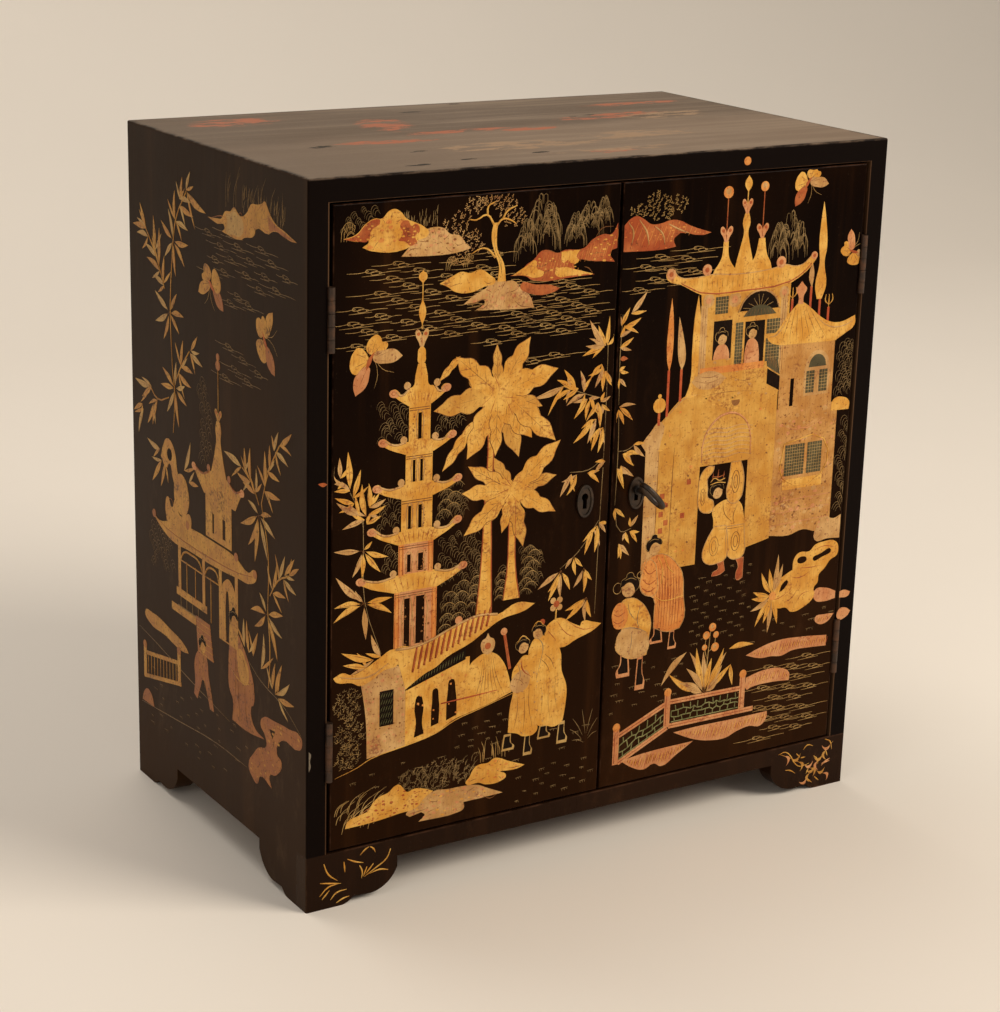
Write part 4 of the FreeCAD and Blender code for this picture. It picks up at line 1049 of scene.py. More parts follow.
def gildPagoda():
    newSheet("gilt_left_pagoda", "left")
    plan = leftPagoda
    axis = plan["axis"]
    for area in ((-166, -146, 291, 313, 14), (-126, -109, 293, 304, 8), (-164, -150, 237, 256, 10),
                 (-124, -105, 238, 254, 14), (-123, -95, 197, 228, 26), (-119, -94, 172, 194, 18),
                 (-160, -151, 211, 226, 6)):
        foliage(*area, 6.0, "dim", 0.7)
    for at, size, count in (((-121, 166), 11, 4), ((-112, 172), 11, 4), ((-101, 178), 9, 4), ((-123, 240), 10, 3),
                            ((-117, 243), 11, 3)):
        plume(at, size, count, 0.10)
    draw([[(axis, 391), (axis, 357)]], 0.8, "gold", 1, even)
    for shape in plan["finial"]:
        turned(axis, shape)
    disc((axis, plan["ball"][0]), plan["ball"][1], "gold", 3)
    bud(axis, *plan["bud"], "pale")
    turned(axis, plan["spire"], "gold", 3)
    for number, tier in enumerate(plan["tiers"]):
        left, right, top = tier["bed"]
        foot = tier["foot"]
        block(left + 0.6, right - 0.6, foot, top, "gold" if number < 3 else "rose", 1, tier["slits"])
        if number > 2:
            for u in (left + 0.6, right - 4.2):
                block(u, u + 3.6, foot, top, "amber", 2)
                draw([[(u + 0.6, foot + 1), (u + 0.6, top - 1)], [(u + 3, foot + 1), (u + 3, top - 1)]], 0.6, "red",
                     3, even)
        frames = [[(a - 0.5, c), (a - 0.5, d), ((a + b) / 2, d + 1.6), (b + 0.5, d), (b + 0.5, c)] for a, b, c,
                  d in tier["slits"]]
        draw(frames, 0.7, "pale", 3, even)
        middle = (left + right) / 2
        for u0, u1 in ((left + 5, middle - 5.5), (middle + 3, right - 5)):
            dabs([(u0, foot + 1), (u1, foot + 1), (u1, top - 4), (u0, top - 4)], 16, 0.7, "brown", 2)
        rails = [[(left + 1, top - d), (right - 1, top - d)] for d in (1.6, 3.0)]
        draw(rails, 0.5, "brown", 3, even)
        roof(tier["tips"], tier["bed"], tier["ridge"])
    hang()


leftPalms = {
    "high": [(-83.5, 343, -82, 312, 8), (-60, 345, -82, 312, 14), (-112, 338, -80, 311, 16),
        (-123.6, 324, -109, 338, 5), (-126.5, 306.5, -80, 313, 16), (-120, 268.5, -97, 298, 8),
        (-103, 274, -81, 314, 17), (-83, 273.5, -82, 312, 11), (-66, 271, -83, 315, 15), (-57, 282, -84, 316, 19),
        (-39.5, 278, -78, 313, 15), (-39.5, 323.5, -85, 312, 17), (-50, 301, -83, 313, 12)],
    "low": [(-84, 273, -69, 248, 9), (-102, 269.5, -68, 249, 11), (-36, 278, -72, 248, 15),
        (-38, 232.5, -73, 252, 12), (-61, 213, -71, 253, 12), (-106, 253, -67, 250, 13), (-104, 226, -68, 252, 13),
        (-77, 224, -69, 251, 9), (-38, 256, -72, 250, 10)],
    "trunks": [[(-88.8, 300, 1), (-88, 275), (-89.3, 250), (-91, 205), (-94, 172, 1), (-82.6, 172, 1), (-83.6, 205),
        (-84.6, 250), (-84, 275), (-84.6, 300, 1)], [(-71.9, 246, 1), (-71.7, 225), (-72, 200), (-74.5, 180, 1),
        (-62.5, 180, 1), (-66, 200), (-67, 225), (-67.4, 246, 1)]],
}


def gildPalms():
    newSheet("gilt_left_palms", "left")
    plan = leftPalms
    for area in ((-65, -49, 185, 211, 14), (-82, -75, 184, 202, 5), (-100, -94, 186, 218, 6)):
        foliage(*area, 6.0, "dim", 0.7)
    for at, size, count in (((-64, 180), 11, 5), ((-60, 184), 11, 4), ((-81, 180), 8, 4)):
        plume(at, size, count, 0.06)
    for trunk in plan["trunks"]:
        cut(trunk, "gold", 1)
        half = len(trunk) // 2
        low, high = trunk[half][1], trunk[0][1]
        draw([trunk[:half], trunk[half:]], 0.9, "red", 2, even)
        rings = []
        for k in range(2, int((high - low) / 6)):
            share = k * 6 / (high - low)
            u = (trunk[half - 1][0] + trunk[half][0]) / 2 * (1 - share) + (trunk[0][0] + trunk[-1][0]) / 2 * share
            rings.append([(u - 2.2, low + k * 6), (u, low + k * 6 - 1), (u + 2.2, low + k * 6)])
        draw(rings, 0.5, "brown", 2)
    for name in ("high", "low"):
        for number, (tu, tv, bu, bv, wide) in enumerate(plan[name]):
            tone = "gold" if number % 4 else "straw"
            frond((tu, tv), (bu, bv), wide, tone, 3 + number % 4, 3 if wide > 6 else 2)
    butterfly((-169.5, 342), 0, 1.0)
    hang()


leftBamboo = {
    "edge": [(-189, 286, -188.5, 273.5), (-183.5, 289, -182, 266), (-175, 277, -180, 260.6),
        (-192.4, 270.6, -186.7, 270.6), (-192.4, 266, -182, 265), (-192, 262, -179, 257), (-191, 259, -175.6, 249),
        (-174, 268, -171, 248), (-169.5, 268, -169.5, 254), (-158, 257, -169, 253), (-158, 253, -169.5, 249),
        (-161, 247, -170.6, 243), (-187, 242, -172, 246), (-187, 165, -165, 157), (-186, 157, -170, 153),
        (-167, 173.5, -160, 158)],
    "edgeSprays": [((-173, 227), [(-192.4, 229), (-167, 232), (-156, 221), (-180, 211.5), (-173.5, 210),
        (-161, 212)]), ((-172, 194), [(-191, 213), (-192, 194), (-192.4, 185), (-170.6, 171), (-153, 185),
        (-153, 195), (-178, 203)])],
    "inner": [(-17.5, 351, -6, 334), (-11, 347, -5, 334), (-2.4, 347, -4, 334), (-20, 335, -6, 334),
        (-22, 329, -6, 333), (-15.7, 314, -7.5, 322.6), (-12, 308, -6, 320), (-6, 305, -5, 318), (0.5, 308, -4, 318),
        (-57, 306, -35, 311.5), (-40, 316, -30, 310), (-35, 322, -26, 310), (-23, 320, -20, 306),
        (-41, 303, -30, 309), (-35, 303, -24, 309), (-32.6, 299, -19, 305), (-26.5, 290, -17, 301.5),
        (-18, 288.5, -15, 301), (-8, 301.5, -16, 302), (-15, 290, -10, 298), (-7, 282, -9, 298.6),
        (0, 301.5, -7, 298.6), (0, 292, -6, 297), (-26.5, 274.5, -13, 288), (-16, 273, -10, 288),
        (-13, 268, -7.5, 282), (-8, 266, -4.6, 282), (-35, 241, -27, 255), (-30, 241.5, -23, 254),
        (-6, 246.6, -15, 254), (-10, 253, -2, 260), (-15, 200.7, -9, 217), (-7.5, 201, -6, 218.6),
        (0.5, 213, -5, 220)],
    "innerSprays": [((-23, 201), [(-29, 193.5), (-21, 188), (-16, 193)]),
        ((-32, 193), [(-49, 183), (-41.5, 180), (-41, 174), (-32, 175), (-25, 179)]),
        ((-15, 192), [(-22.5, 180), (-14.6, 175.6), (-8.5, 183)]), ((-12, 172),
        [(-19.7, 164), (-28, 165.6), (-27.5, 159), (-12.5, 156), (-8, 158)])],
    "stems": [[(-3.4, 345), (-3.0, 300), (-3.4, 258)], [(-3.4, 256), (-4.6, 215), (-5.4, 160)],
        [(-3.5, 300), (-16, 304), (-37, 312)], [(-4, 262), (-14, 256), (-28, 256)],
        [(-5, 222), (-20, 203), (-33, 194)], [(-173, 246), (-172.6, 226), (-171.5, 195), (-160, 160)],
        [(-182, 264), (-176, 252), (-172.6, 240)]],
}


def gildLeftBamboo():
    newSheet("gilt_left_bamboo", "left")
    plan = leftBamboo
    draw(plan["stems"], 0.6, "dim", 0, (0.8, 1, 0.7))
    leaves(plan["edge"], "gold", 2, True)
    leaves(plan["inner"], "gold", 2, True)
    for root, tips in plan["edgeSprays"] + plan["innerSprays"]:
        spray(root, tips)
    hang()


leftHouse = {
    "gable": [(-173.5, 143, 1), (-158, 149), (-150, 151), (-143, 146, 1), (-142.4, 97.5, 1), (-155, 95.5),
        (-169, 93.6, 1), (-170, 120)],
    "wall": [(-142.6, 133, 1), (-128, 140), (-100, 147.5, 1), (-97.4, 147.5, 1), (-97.4, 110, 1), (-107, 108),
        (-121, 101.4), (-142.6, 97.5, 1)],
    "openings": [[(-136.4, 101, 1), (-135, 110), (-136, 122), (-133, 128.4), (-130, 123), (-130.6, 110),
        (-129.2, 102.5, 1)], [(-124.4, 106, 1), (-123.8, 122), (-121.5, 131), (-119, 124), (-118.8, 107.5, 1)],
        [(-113.6, 108, 1), (-112.8, 126), (-110, 135), (-107, 127), (-106, 110.5, 1)]],
    "roof": [(-150.5, 160.6), (-134, 160.5), (-105, 170), (-93, 173), (-78, 171.5), (-64, 177), (-51, 174.5, 1),
        (-58, 171), (-75, 168), (-87, 162), (-97, 156.3), (-114, 149.8), (-121, 145), (-129, 142), (-142.6, 134, 1),
        (-147, 149)],
    "eave": [(-192.4, 150, 1), (-186, 152.3), (-180, 150), (-172, 152), (-161, 157.5), (-151, 161.5), (-147, 158),
        (-148, 151.5), (-158, 149), (-168, 143.5), (-174, 142), (-180, 145), (-190, 147)],
    "dome": [(-97.4, 141), (-92.1, 145.5), (-85.7, 147.6), (-79.2, 146.2), (-73.5, 140.5), (-69.9, 133.3),
        (-66, 118.3, 1), (-82, 113.5), (-98, 110, 1)],
    "finial": [(2.0, 147), (5, 151.5), (4.2, 156), (1.6, 157.5), (0, 160.5, 1)],
    "ground": [[(-191, 85), (-176, 89), (-166, 93.2), (-142, 97), (-121, 101), (-107, 107), (-90, 111),
        (-65.6, 117)]],
}


def gildHouse():
    newSheet("gilt_left_house", "left")
    plan = leftHouse
    draw(plan["ground"], 1.0, "gold", 0)
    for area in ((-192, -172, 119, 141, 60), (-191, -170, 101, 122, 60), (-192, -174, 88, 106, 44)):
        flecks(*area, 2.6, "dim", 0.42)
        flecks(*area[:4], 16, 3.0, "line", 0.4)
    cut(plan["gable"], "pale", 1)
    cut(plan["wall"], "gold", 1, plan["openings"])
    dabs(plan["gable"], 110, 1.0, "rose", 2, 1.2)
    dabs(plan["gable"], 60, 0.6, "brown", 2)
    dabs(plan["wall"], 40, 0.9, "amber", 2)
    block(-160.5, -151, 113, 135.8, "dark", 3)
    draw([[(-160 + 1.7 * i, 113.6 + 4.3 * k), (-158.4 + 1.7 * i,
         117.4 + 4.3 * k)] for i in range(5) for k in range(5)], 0.4, "moss", 4)
    cut([(-142, 133.2), (-130, 142), (-100.4, 153), (-100.4, 146)], "dark", 2, (), False)
    draw([[(u, 134 + (u + 142) * 0.31), (u + 1, 138 + (u + 142) * 0.36)] for u in range(-139, -101, 2)], 0.45, "moss",
         3)
    cut(plan["roof"], "gold", 3)
    slopes = [[(u, 143.5 + (u + 140) * 0.40), (u + 3, 160.0 + (u + 140) * 0.32)] for u in range(-138, -82, 4)]
    draw(slopes, 2.0, "red", 4, (0.8, 1, 0.6))
    draw([[(-150, 160.8), (-134, 160.8), (-105, 170.3), (-92, 173.2), (-78, 171.8)]], 1.8, "pale", 5, even)
    disc((-106, 172.5), 2.6, "rose", 5)
    cut(plan["eave"], "gold", 4)
    draw([[(-188, 150), (-178, 147.5), (-168, 147), (-155, 153)]], 1.4, "pale", 5)
    cut(plan["dome"], "gold", 2)
    folds([arc((-84.5 + d * 0.25, 146.5), (-84 + d, 114.5 + d * 0.14),
          -0.004 * d) for d in (-11, -7, -3, 1, 5, 9, 13)])
    turned(-84.5, plan["finial"], "pale", 3)
    disc((-84.5, 152), 2.2, "red", 4)
    beam((-72.6, 158), (-68, 134), 2.0, "red", 3)
    disc((-73, 159.5), 2.4, "rose", 4)
    draw([[(-117.5, 120), (-97, 120.6), (-77, 121.5)]], 0.9, "scarlet", 4, (1, 1, 0.6))
    hang()


leftPeople = {
    "front": [(-66, 131), (-62, 137), (-57, 141), (-52, 138), (-50, 128), (-50, 112), (-46, 93), (-47, 87.5),
        (-57, 86.5), (-61, 89), (-68, 91, 1), (-67, 108), (-65, 118)],
    "back": [(-52, 149), (-44, 152), (-38, 148), (-31, 141), (-29, 126), (-25, 115), (-25, 104), (-27, 91, 1),
        (-33, 88.5), (-40, 90.5), (-46, 92), (-50, 110), (-53, 128)],
    "sleeves": [[(-64, 129), (-56, 131), (-53, 123), (-59, 117), (-67, 120)],
        [(-46, 141), (-36, 139), (-32, 129), (-40, 123), (-48, 128)]],
    "canopy": [(-43, 154), (-36.9, 160.6), (-30.4, 161.3), (-23.2, 157), (-16.1, 153.4, 1), (-14.6, 156.3),
        (-6.7, 154.8), (0, 152.7, 1), (-6.7, 148.7), (-17.5, 145.5), (-31, 141.5), (-37, 146)],
}


def gildLeftPeople():
    newSheet("gilt_left_people", "left")
    plan = leftPeople
    cut(plan["canopy"], "gold", 1)
    draw([[(-34, 160), (-26, 150), (-20, 147)], [(-28, 160), (-14, 151), (-4, 151)], [(-40, 154), (-34, 147)]], 0.7,
         "red", 2)
    draw([[(-35, 161), (-34.7, 168)]], 1.2, "gold", 2, even)
    for turn in (45, 135, 225, 315):
        at = moved([(3.4, 0)], (-34.7, 171.3), turn)[0]
        disc(at, 2.1, "pale", 2)
    disc((-34.7, 171.3), 2.2, "red", 3)
    cut(plan["back"], "gold", 2)
    cut(plan["front"], "gold", 3)
    draw([[(-48, 151), (-44, 146), (-45, 136), (-48, 124)], [(-62, 136), (-60, 128), (-63, 121)]], 0.7, "grey", 4)
    dabs(plan["back"], 30, 0.8, "pale", 3, 0.7)
    dabs(plan["front"], 26, 0.8, "pale", 4, 0.7)
    cut(plan["sleeves"][0], "pale", 4)
    cut(plan["sleeves"][1], "gold", 4)
    folds([arc((-62, 116), (-64, 92), 0.06), arc((-57, 117), (-57, 88), 0.04), arc((-53, 122), (-50, 92), -0.05)], 4)
    folds([arc((-45, 124), (-44, 94), 0.05), arc((-38, 122), (-36, 91), -0.05), arc((-33, 127), (-30, 94), -0.06)], 3)
    folds([arc((-64, 127), (-56, 120), 0.1), arc((-46, 137), (-38, 126), 0.1), arc((-42, 139), (-35, 129), 0.1)], 5)
    draw([[(-60, 139), (-58, 131), (-52, 126)]], 1.2, "red", 4)
    head((-58.5, 147), 4.4)
    head((-47.5, 154.5), 4.4, 3, -1)
    draw([[(-63.5, 149), (-59, 154), (-53.5, 150)], [(-52.5, 157), (-48, 162), (-43, 158)]], 0.8, "gold", 5)
    disc((-44.8, 161), 2.0, "red", 4)
    for place in ((-73.5, -63, 79, 90), (-57, -49.5, 73, 88), (-47, -36, 82, 91.5), (-32, -23, 76, 91)):
        boot(*place)
    hang()


leftGround = {
    "gold": [(-183.5, 50.5, 1), (-182, 54.8), (-174.2, 57.3), (-167.7, 59.1), (-164.1, 64.1), (-159.1, 67),
        (-153.4, 68.4), (-149.8, 71.3), (-146.2, 72), (-143.3, 69.2), (-140.5, 66), (-135.4, 67), (-128.3, 65.6),
        (-121.8, 62.7, 1), (-128.3, 59), (-133.3, 54.1), (-145.5, 52.7), (-164.1, 50.9)],
    "pale": [(-140.8, 50.5), (-136.9, 54.1), (-128.3, 59), (-121, 62.4), (-110.3, 61.6), (-99.6, 61.3), (-89.2, 59.8),
        (-82, 56.3), (-70.6, 50.9, 1), (-85.7, 50.5), (-99.6, 50.5, 1), (-99.2, 46.2), (-103, 44.4),
        (-131.9, 44.1, 1), (-127.5, 48.4)],
    "right": [(-98.3, 62.7), (-95.7, 66.3), (-92.1, 72), (-88.5, 73.5), (-82, 73.5), (-77.8, 75.6), (-73.5, 74.9),
        (-67.7, 72), (-54.8, 66.7, 1), (-60, 65.2), (-73.5, 65.9, 1), (-68.4, 62), (-71.3, 59.5), (-83.5, 59.1),
        (-88.5, 61.3)],
    "fern": [(-21, 84, -12, 76), (-19, 91, -11, 78), (-12, 96, -9, 79), (-4, 95, -8, 79), (0, 88, -7, 77),
        (0, 79, -7, 75), (-19, 76, -10, 73)],
}


def gildLeftGround():
    newSheet("gilt_left_ground", "left")
    plan = leftGround
    flecks(-146, -94, 62, 82, 150, 2.2, "dim", 0.5)
    grass(-146, -92, 62, 78, 70, 5, 0.5, "dim", 0.4)
    grass(-191, -162, 46, 62, 34, 13, 0.8, "line", 0.5)
    grass(-90, -66, 74, 78, 16, 12, -0.15, "line", 0.45)
    fringe(-190, -10, 70, 88, 26)
    fringe(-64, -6, 42, 64, 18)
    fringe(-110, -72, 88, 106, 12)
    rock(plan["pale"], "pale", 1)
    rock(plan["gold"], "gold", 2, "red")
    rock(plan["right"], "gold", 2)
    dabs(plan["gold"], 110, 0.7, "red", 3, 1.8)
    dabs(plan["pale"], 110, 0.9, "rose", 2, 1.8)
    dabs(plan["pale"], 60, 0.7, "gold", 2, 2.0)
    dabs(plan["right"], 50, 0.7, "amber", 3, 1.8)
    draw([[(bu, bv), ((bu + tu) / 2, (bv + tv) / 2 + 1), (tu, tv)] for tu, tv, bu, bv in plan["fern"]], 0.5, "dim", 0)
    hang()


gildLeftSky()
gildPagoda()
gildPalms()
gildLeftBamboo()
gildHouse()
gildLeftPeople()
gildLeftGround()
print("left door gilded")


# right door

rightSky = {
    "hill": [(5.3, 407.3, 1), (10, 411.2), (14.5, 412.3), (19.1, 410.4), (25.3, 406.6), (32.9, 406.6), (39.8, 408.1),
        (46.7, 407.3), (55.1, 403.5), (71.2, 398.2, 1), (65.1, 397), (42.9, 396.8), (44.4, 391.3, 1), (34.5, 390.3),
        (5.3, 391, 1)],
    "veins": [[(8, 409), (12, 403), (11, 395)], [(16, 410), (22, 402), (24, 394)], [(28, 405), (34, 400), (36, 393)],
        [(38, 406), (46, 402), (54, 399)]],
    "leaves": [(24.5, 365, 13, 352), (12, 356, 6, 345), (21, 349, 8, 344), (14, 341.5, 5.5, 338),
        (15.7, 337, 5.5, 331.5), (13, 315, 6, 316.5), (11.5, 306, 6, 312), (17.6, 284, 7, 293.6), (11, 282, 6.5, 292),
        (28, 259, 19, 268), (24, 261, 14, 264), (20, 254, 11, 263), (20.4, 247, 10, 255.5), (13, 240, 7, 254),
        (14.7, 221, 7, 228), (25, 221, 19.4, 214), (19, 203, 16, 211), (25, 203, 19, 211), (19.4, 195, 11, 204),
        (13, 193.5, 11, 203)],
    "stems": [[(7, 352), (6, 325), (6.6, 295)], [(6.8, 292), (7.5, 265), (6.8, 230)],
        [(7, 228), (12, 212), (20, 213)], [(7.5, 265), (14, 265), (20, 268)]],
}


def gildRightSky():
    newSheet("gilt_right_sky", "right")
    plan = rightSky
    water(7, 74, 365, 390, 9)
    for area in ((9, 24, 411, 420, 20), (20, 38, 415, 427, 28), (34, 54, 412, 423, 26), (24, 46, 408, 416, 20)):
        flecks(*area, 2.2, "line", 0.5)
    for at, reach, tall in (((125, 372), 9, 28), ((134, 373), 10, 34), ((142, 372), 7, 28)):
        willow(at, reach, tall, 16)
        willow(at, reach * 0.8, tall * 0.65, 12)
    cut(plan["hill"], "red", 1)
    hatch(plan["hill"], 4.4, "amber", 2, 0.45, 0.6)
    dabs(plan["hill"], 50, 0.4, "amber", 2, 2.4)
    draw(plan["veins"], 1.4, "pale", 3)
    draw(plan["stems"], 0.6, "dim", 0, (0.8, 1, 0.6))
    leaves(plan["leaves"], "gold", 2, True)
    leaf((6, 324), (12, 324), 3, "red")
    butterfly((146, 424.5), -8, 0.78, 1, ("gold", "pale", "red"))
    butterfly((187, 377), 100, 0.70, 1, ("gold", "rose", "pale"))
    hang()


palace = {
    "roof": [(38.3, 374.5), (39.5, 370.6), (49.8, 366.8), (59.7, 361.8), (65.8, 359.1, 1), (99.5, 357.6),
        (136.8, 360.6, 1), (145.9, 365.2), (153.6, 371.4), (157, 378.2), (154.7, 379.4), (152, 376.7), (145.9, 372.1),
        (138.3, 371.4), (132.2, 372.9), (120, 371), (91, 370), (74.3, 371.4), (65.1, 370.6), (58, 370.4), (49, 371.4),
        (44, 375.5), (40.5, 377.5)],
    "spires": [
        {"axis": 83.1, "foot": [(9.2, 367.5, 1), (8.4, 373), (5, 377.5), (2.7, 382), (1.9, 391.5, 1)],
            "bud": (391, 401, 4.8), "ball": (422.4, 3.8)},
        {"axis": 98.4, "foot": [(8.2, 367.5, 1), (6.6, 377), (3.3, 389), (1.7, 397), (3.0, 402), (1.5, 408.5, 1)],
            "bud": (408, 417.3, 4.1), "ball": None},
        {"axis": 111.4, "foot": [(9.5, 368.5, 1), (8.0, 375), (4.6, 381), (2.4, 391.5, 1)],
            "bud": (391.5, 400.8, 4.7), "ball": (424.3, 3.2)}],
    "upper": [(66, 359.5, 1), (137, 360.5, 1), (137, 300, 1), (131, 288, 1), (58, 288, 1), (60, 300), (67, 318),
        (68, 335)],
    "lunette": [(96.5, 345.5, 1), (101, 353), (113, 357.6), (124, 353), (128.5, 345.5, 1)],
    "halfMoon": [(100, 341.8, 1), (105, 346.6), (113, 348.6), (121, 346.6), (126.5, 341.8, 1)],
    "boat": [(61.7, 303.5, 1), (68, 308), (80, 308.5), (89, 303.5, 1), (82, 298.5), (68, 298.5)],
    "poles": [(43.7, 313, 283), (53.4, 313, 292), (64.8, 312, 294), (37.7, 287, 278), (161.7, 350, 334),
        (139, 350, 340), (169.3, 342, 332), (154, 357, 343)],
    "pennants": [("amber", [(43.6, 359, 1), (45.5, 345), (45.6, 320), (43.9, 312, 1), (41.8, 320), (42, 345)]),
                 ("pale", [(50, 346.5, 1), (53.5, 335), (56, 318), (53.6, 312, 1), (51, 318), (49.6, 335)]),
                 ("gold", [(64, 359, 1), (66.5, 345), (69.4, 325), (66, 314), (62.5, 300), (64, 293.5, 1),
                     (57, 293.5, 1), (60.5, 303), (61, 325), (61.8, 345)]),
                 ("gold", [(160.1, 411.5, 1), (162.6, 400), (164.8, 382), (163.5, 372), (166, 357), (163, 348, 1),
                     (159, 348, 1), (157, 357), (159.5, 372), (158.2, 384), (158.8, 400)]),
                 ("pale", [(153.8, 373, 1), (155.6, 365), (154.4, 356, 1), (151.5, 363)])],
    "forks": [(139, 348.5), (169.3, 341.5)],
}


def gildPalace():
    newSheet("gilt_right_palace", "right")
    plan = palace
    for u, top, low in plan["poles"]:
        block(u - 0.9, u + 0.9, low, top, "scarlet", 1)
    for tone, shape in plan["pennants"]:
        cut(shape, tone, 2)
    for u, v in plan["forks"]:
        draw([[(u, v), (u, v + 9)], [(u, v + 2), (u - 3, v + 5), (u - 2.5, v + 9)],
             [(u, v + 2), (u + 3, v + 5), (u + 2.5, v + 9)]], 1.1, "gold", 2)
    disc((37.7, 291), 4.8, "gold", 2)
    disc((37.7, 297), 1.4, "gold", 2)
    cut(plan["upper"], "straw", 1)
    dabs(plan["upper"][3:], 40, 1.1, "pale", 2, 1.5)
    cut(plan["lunette"], "dark", 2)
    draw([[(113, 345.8), (113 + d * 1.05, 346 + (15 - abs(d)) * 0.72)] for d in (-13, -9, -5, -1.5, 2, 6, 10)], 0.35,
         "line", 3, even)
    draw([[(96, 345), (101, 353.4), (113, 358), (124.5, 353.4), (129, 345)]], 1.3, "pale", 4, even)
    cut(plan["halfMoon"], "olive", 3)
    draw([[(102 + k * 3.1, 342.2), (104.5 + k * 2.4, 346)] for k in range(8)], 0.4, "brown", 4, even)
    lattice(77.5, 87.5, 345.5, 356.5)
    lattice(94.5, 100.3, 310, 338.5)
    lattice(119.3, 130.6, 329, 338.5)
    lattice(119.3, 130.6, 311, 326)
    block(102, 117.8, 311, 338.5, "dark", 2)
    block(77, 91.5, 316, 341, "dark", 2)
    for u in (69.0, 132.5):
        block(u - 2.6, u + 2.6, 302, 352, "pale", 2)
        draw([[(u - 0.8, 304), (u - 0.8, 350)], [(u + 1, 304), (u + 1, 350)]], 0.4, "brown", 3, even)
    for at, size in (((72, 354.8), 4.4), ((92.6, 353.8), 4.9), ((132, 355), 4.0)):
        disc(at, size, "pale", 3)
        disc(at, size * 0.5, "rose", 4)
    cut([(102.5, 311, 1), (103, 321), (106, 327), (111, 326), (114, 318), (114.5, 311, 1)], "rose", 3)
    head((108, 331), 4.0)
    cut([(77.5, 316, 1), (79, 322), (82, 325.5), (87, 325), (90, 320), (90.5, 316, 1)], "rose", 3)
    head((84, 329.5), 4.2)
    for u in (80.5, 84, 87.5):
        disc((u, 336 - abs(u - 84) * 0.5), 1.7, "dark", 4)
    block(68, 118.5, 307, 311.5, "amber", 3)
    cut(plan["boat"], "pale", 4)
    folds([[(64, 304), (75, 301.5), (86, 304)], [(67, 306.5), (76, 305), (84, 306.5)]], 5)
    folds([[(120, 311), (128, 303), (136, 302)], [(119, 305), (126, 297), (134, 296)],
          [(92, 304), (104, 300), (117, 303)], [(70, 293), (90, 294), (116, 292)]], 2)
    for spire in plan["spires"]:
        axis = spire["axis"]
        turned(axis, spire["foot"], "gold", 2)
        bud(axis, *spire["bud"], "rose", 3)
        if spire["ball"]:
            draw([[(axis, spire["bud"][1] - 4), (axis, spire["ball"][0])]], 0.9, "red", 1, even)
            disc((axis, spire["ball"][0]), spire["ball"][1], "amber", 2)
            disc((axis, spire["ball"][0] + 0.6), spire["ball"][1] * 0.55, "pale", 3)
    draw([[(98.4, 413), (98.4, 424)]], 1.0, "gold", 1, even)
    turned(98.4, [(0, 421.5, 1), (2.9, 427), (0, 432, 1)])
    cut(plan["roof"], "gold", 3)
    draw([[(50, 367.6), (60, 362.8), (66, 360.4), (99.5, 359), (136, 361.8), (146, 366.4), (153, 372)]], 1.1, "red",
         4, (0.8, 1, 0.8))
    draw([[(u, 361 + abs(u - 100) * 0.02), (u, 369.6)] for u in range(66, 138, 4)], 0.5, "brown", 4)
    draw([plan["roof"][11:] + plan["roof"][:1]], 0.8, "pale", 4, even)
    for at, size in (((42, 374), 3.6), ((69.5, 374.6), 3.6), ((128, 374.8), 3.8), ((154.8, 377), 2.6)):
        disc(at, size, "rose", 4)
        disc(at, size * 0.45, "red", 5)
    hang()


tower = {
    "crown": [(2.2, 346, 1), (2.0, 351), (4.4, 356), (2.2, 358.4), (0, 361, 1)],
    "roof": [(142, 345), (146, 347.5), (150, 346), (157, 341), (163.6, 336), (170.4, 332.5), (180, 331),
        (192.3, 334.5, 1), (192.3, 328), (184.6, 323), (176.8, 319, 1), (150, 319.7), (130, 320.4, 1), (123, 323),
        (120.6, 326.6), (126, 328.4), (134.5, 337.7)],
    "window": [(153, 284, 1), (173.6, 284, 1), (173.6, 303), (170, 311), (163.3, 314), (156.5, 311), (153, 303)],
    "moon": [(156, 303, 1), (158, 308.6), (163.3, 311.3), (168.6, 308.6), (170.6, 303, 1)],
    "block": [(131.6, 277.5, 1), (182.5, 277.5, 1), (182.5, 190, 1), (172, 189), (160, 192), (148, 189.5),
        (131.6, 191.5, 1)],
    "cap": [(177, 271.5, 1), (192.3, 271, 1), (192.3, 276.5), (186, 280), (179, 279)],
    "corner": [(171, 183), (173, 194), (178, 198.5), (186, 196), (192.3, 198, 1), (192.3, 181.5, 1), (182, 182.5)],
}


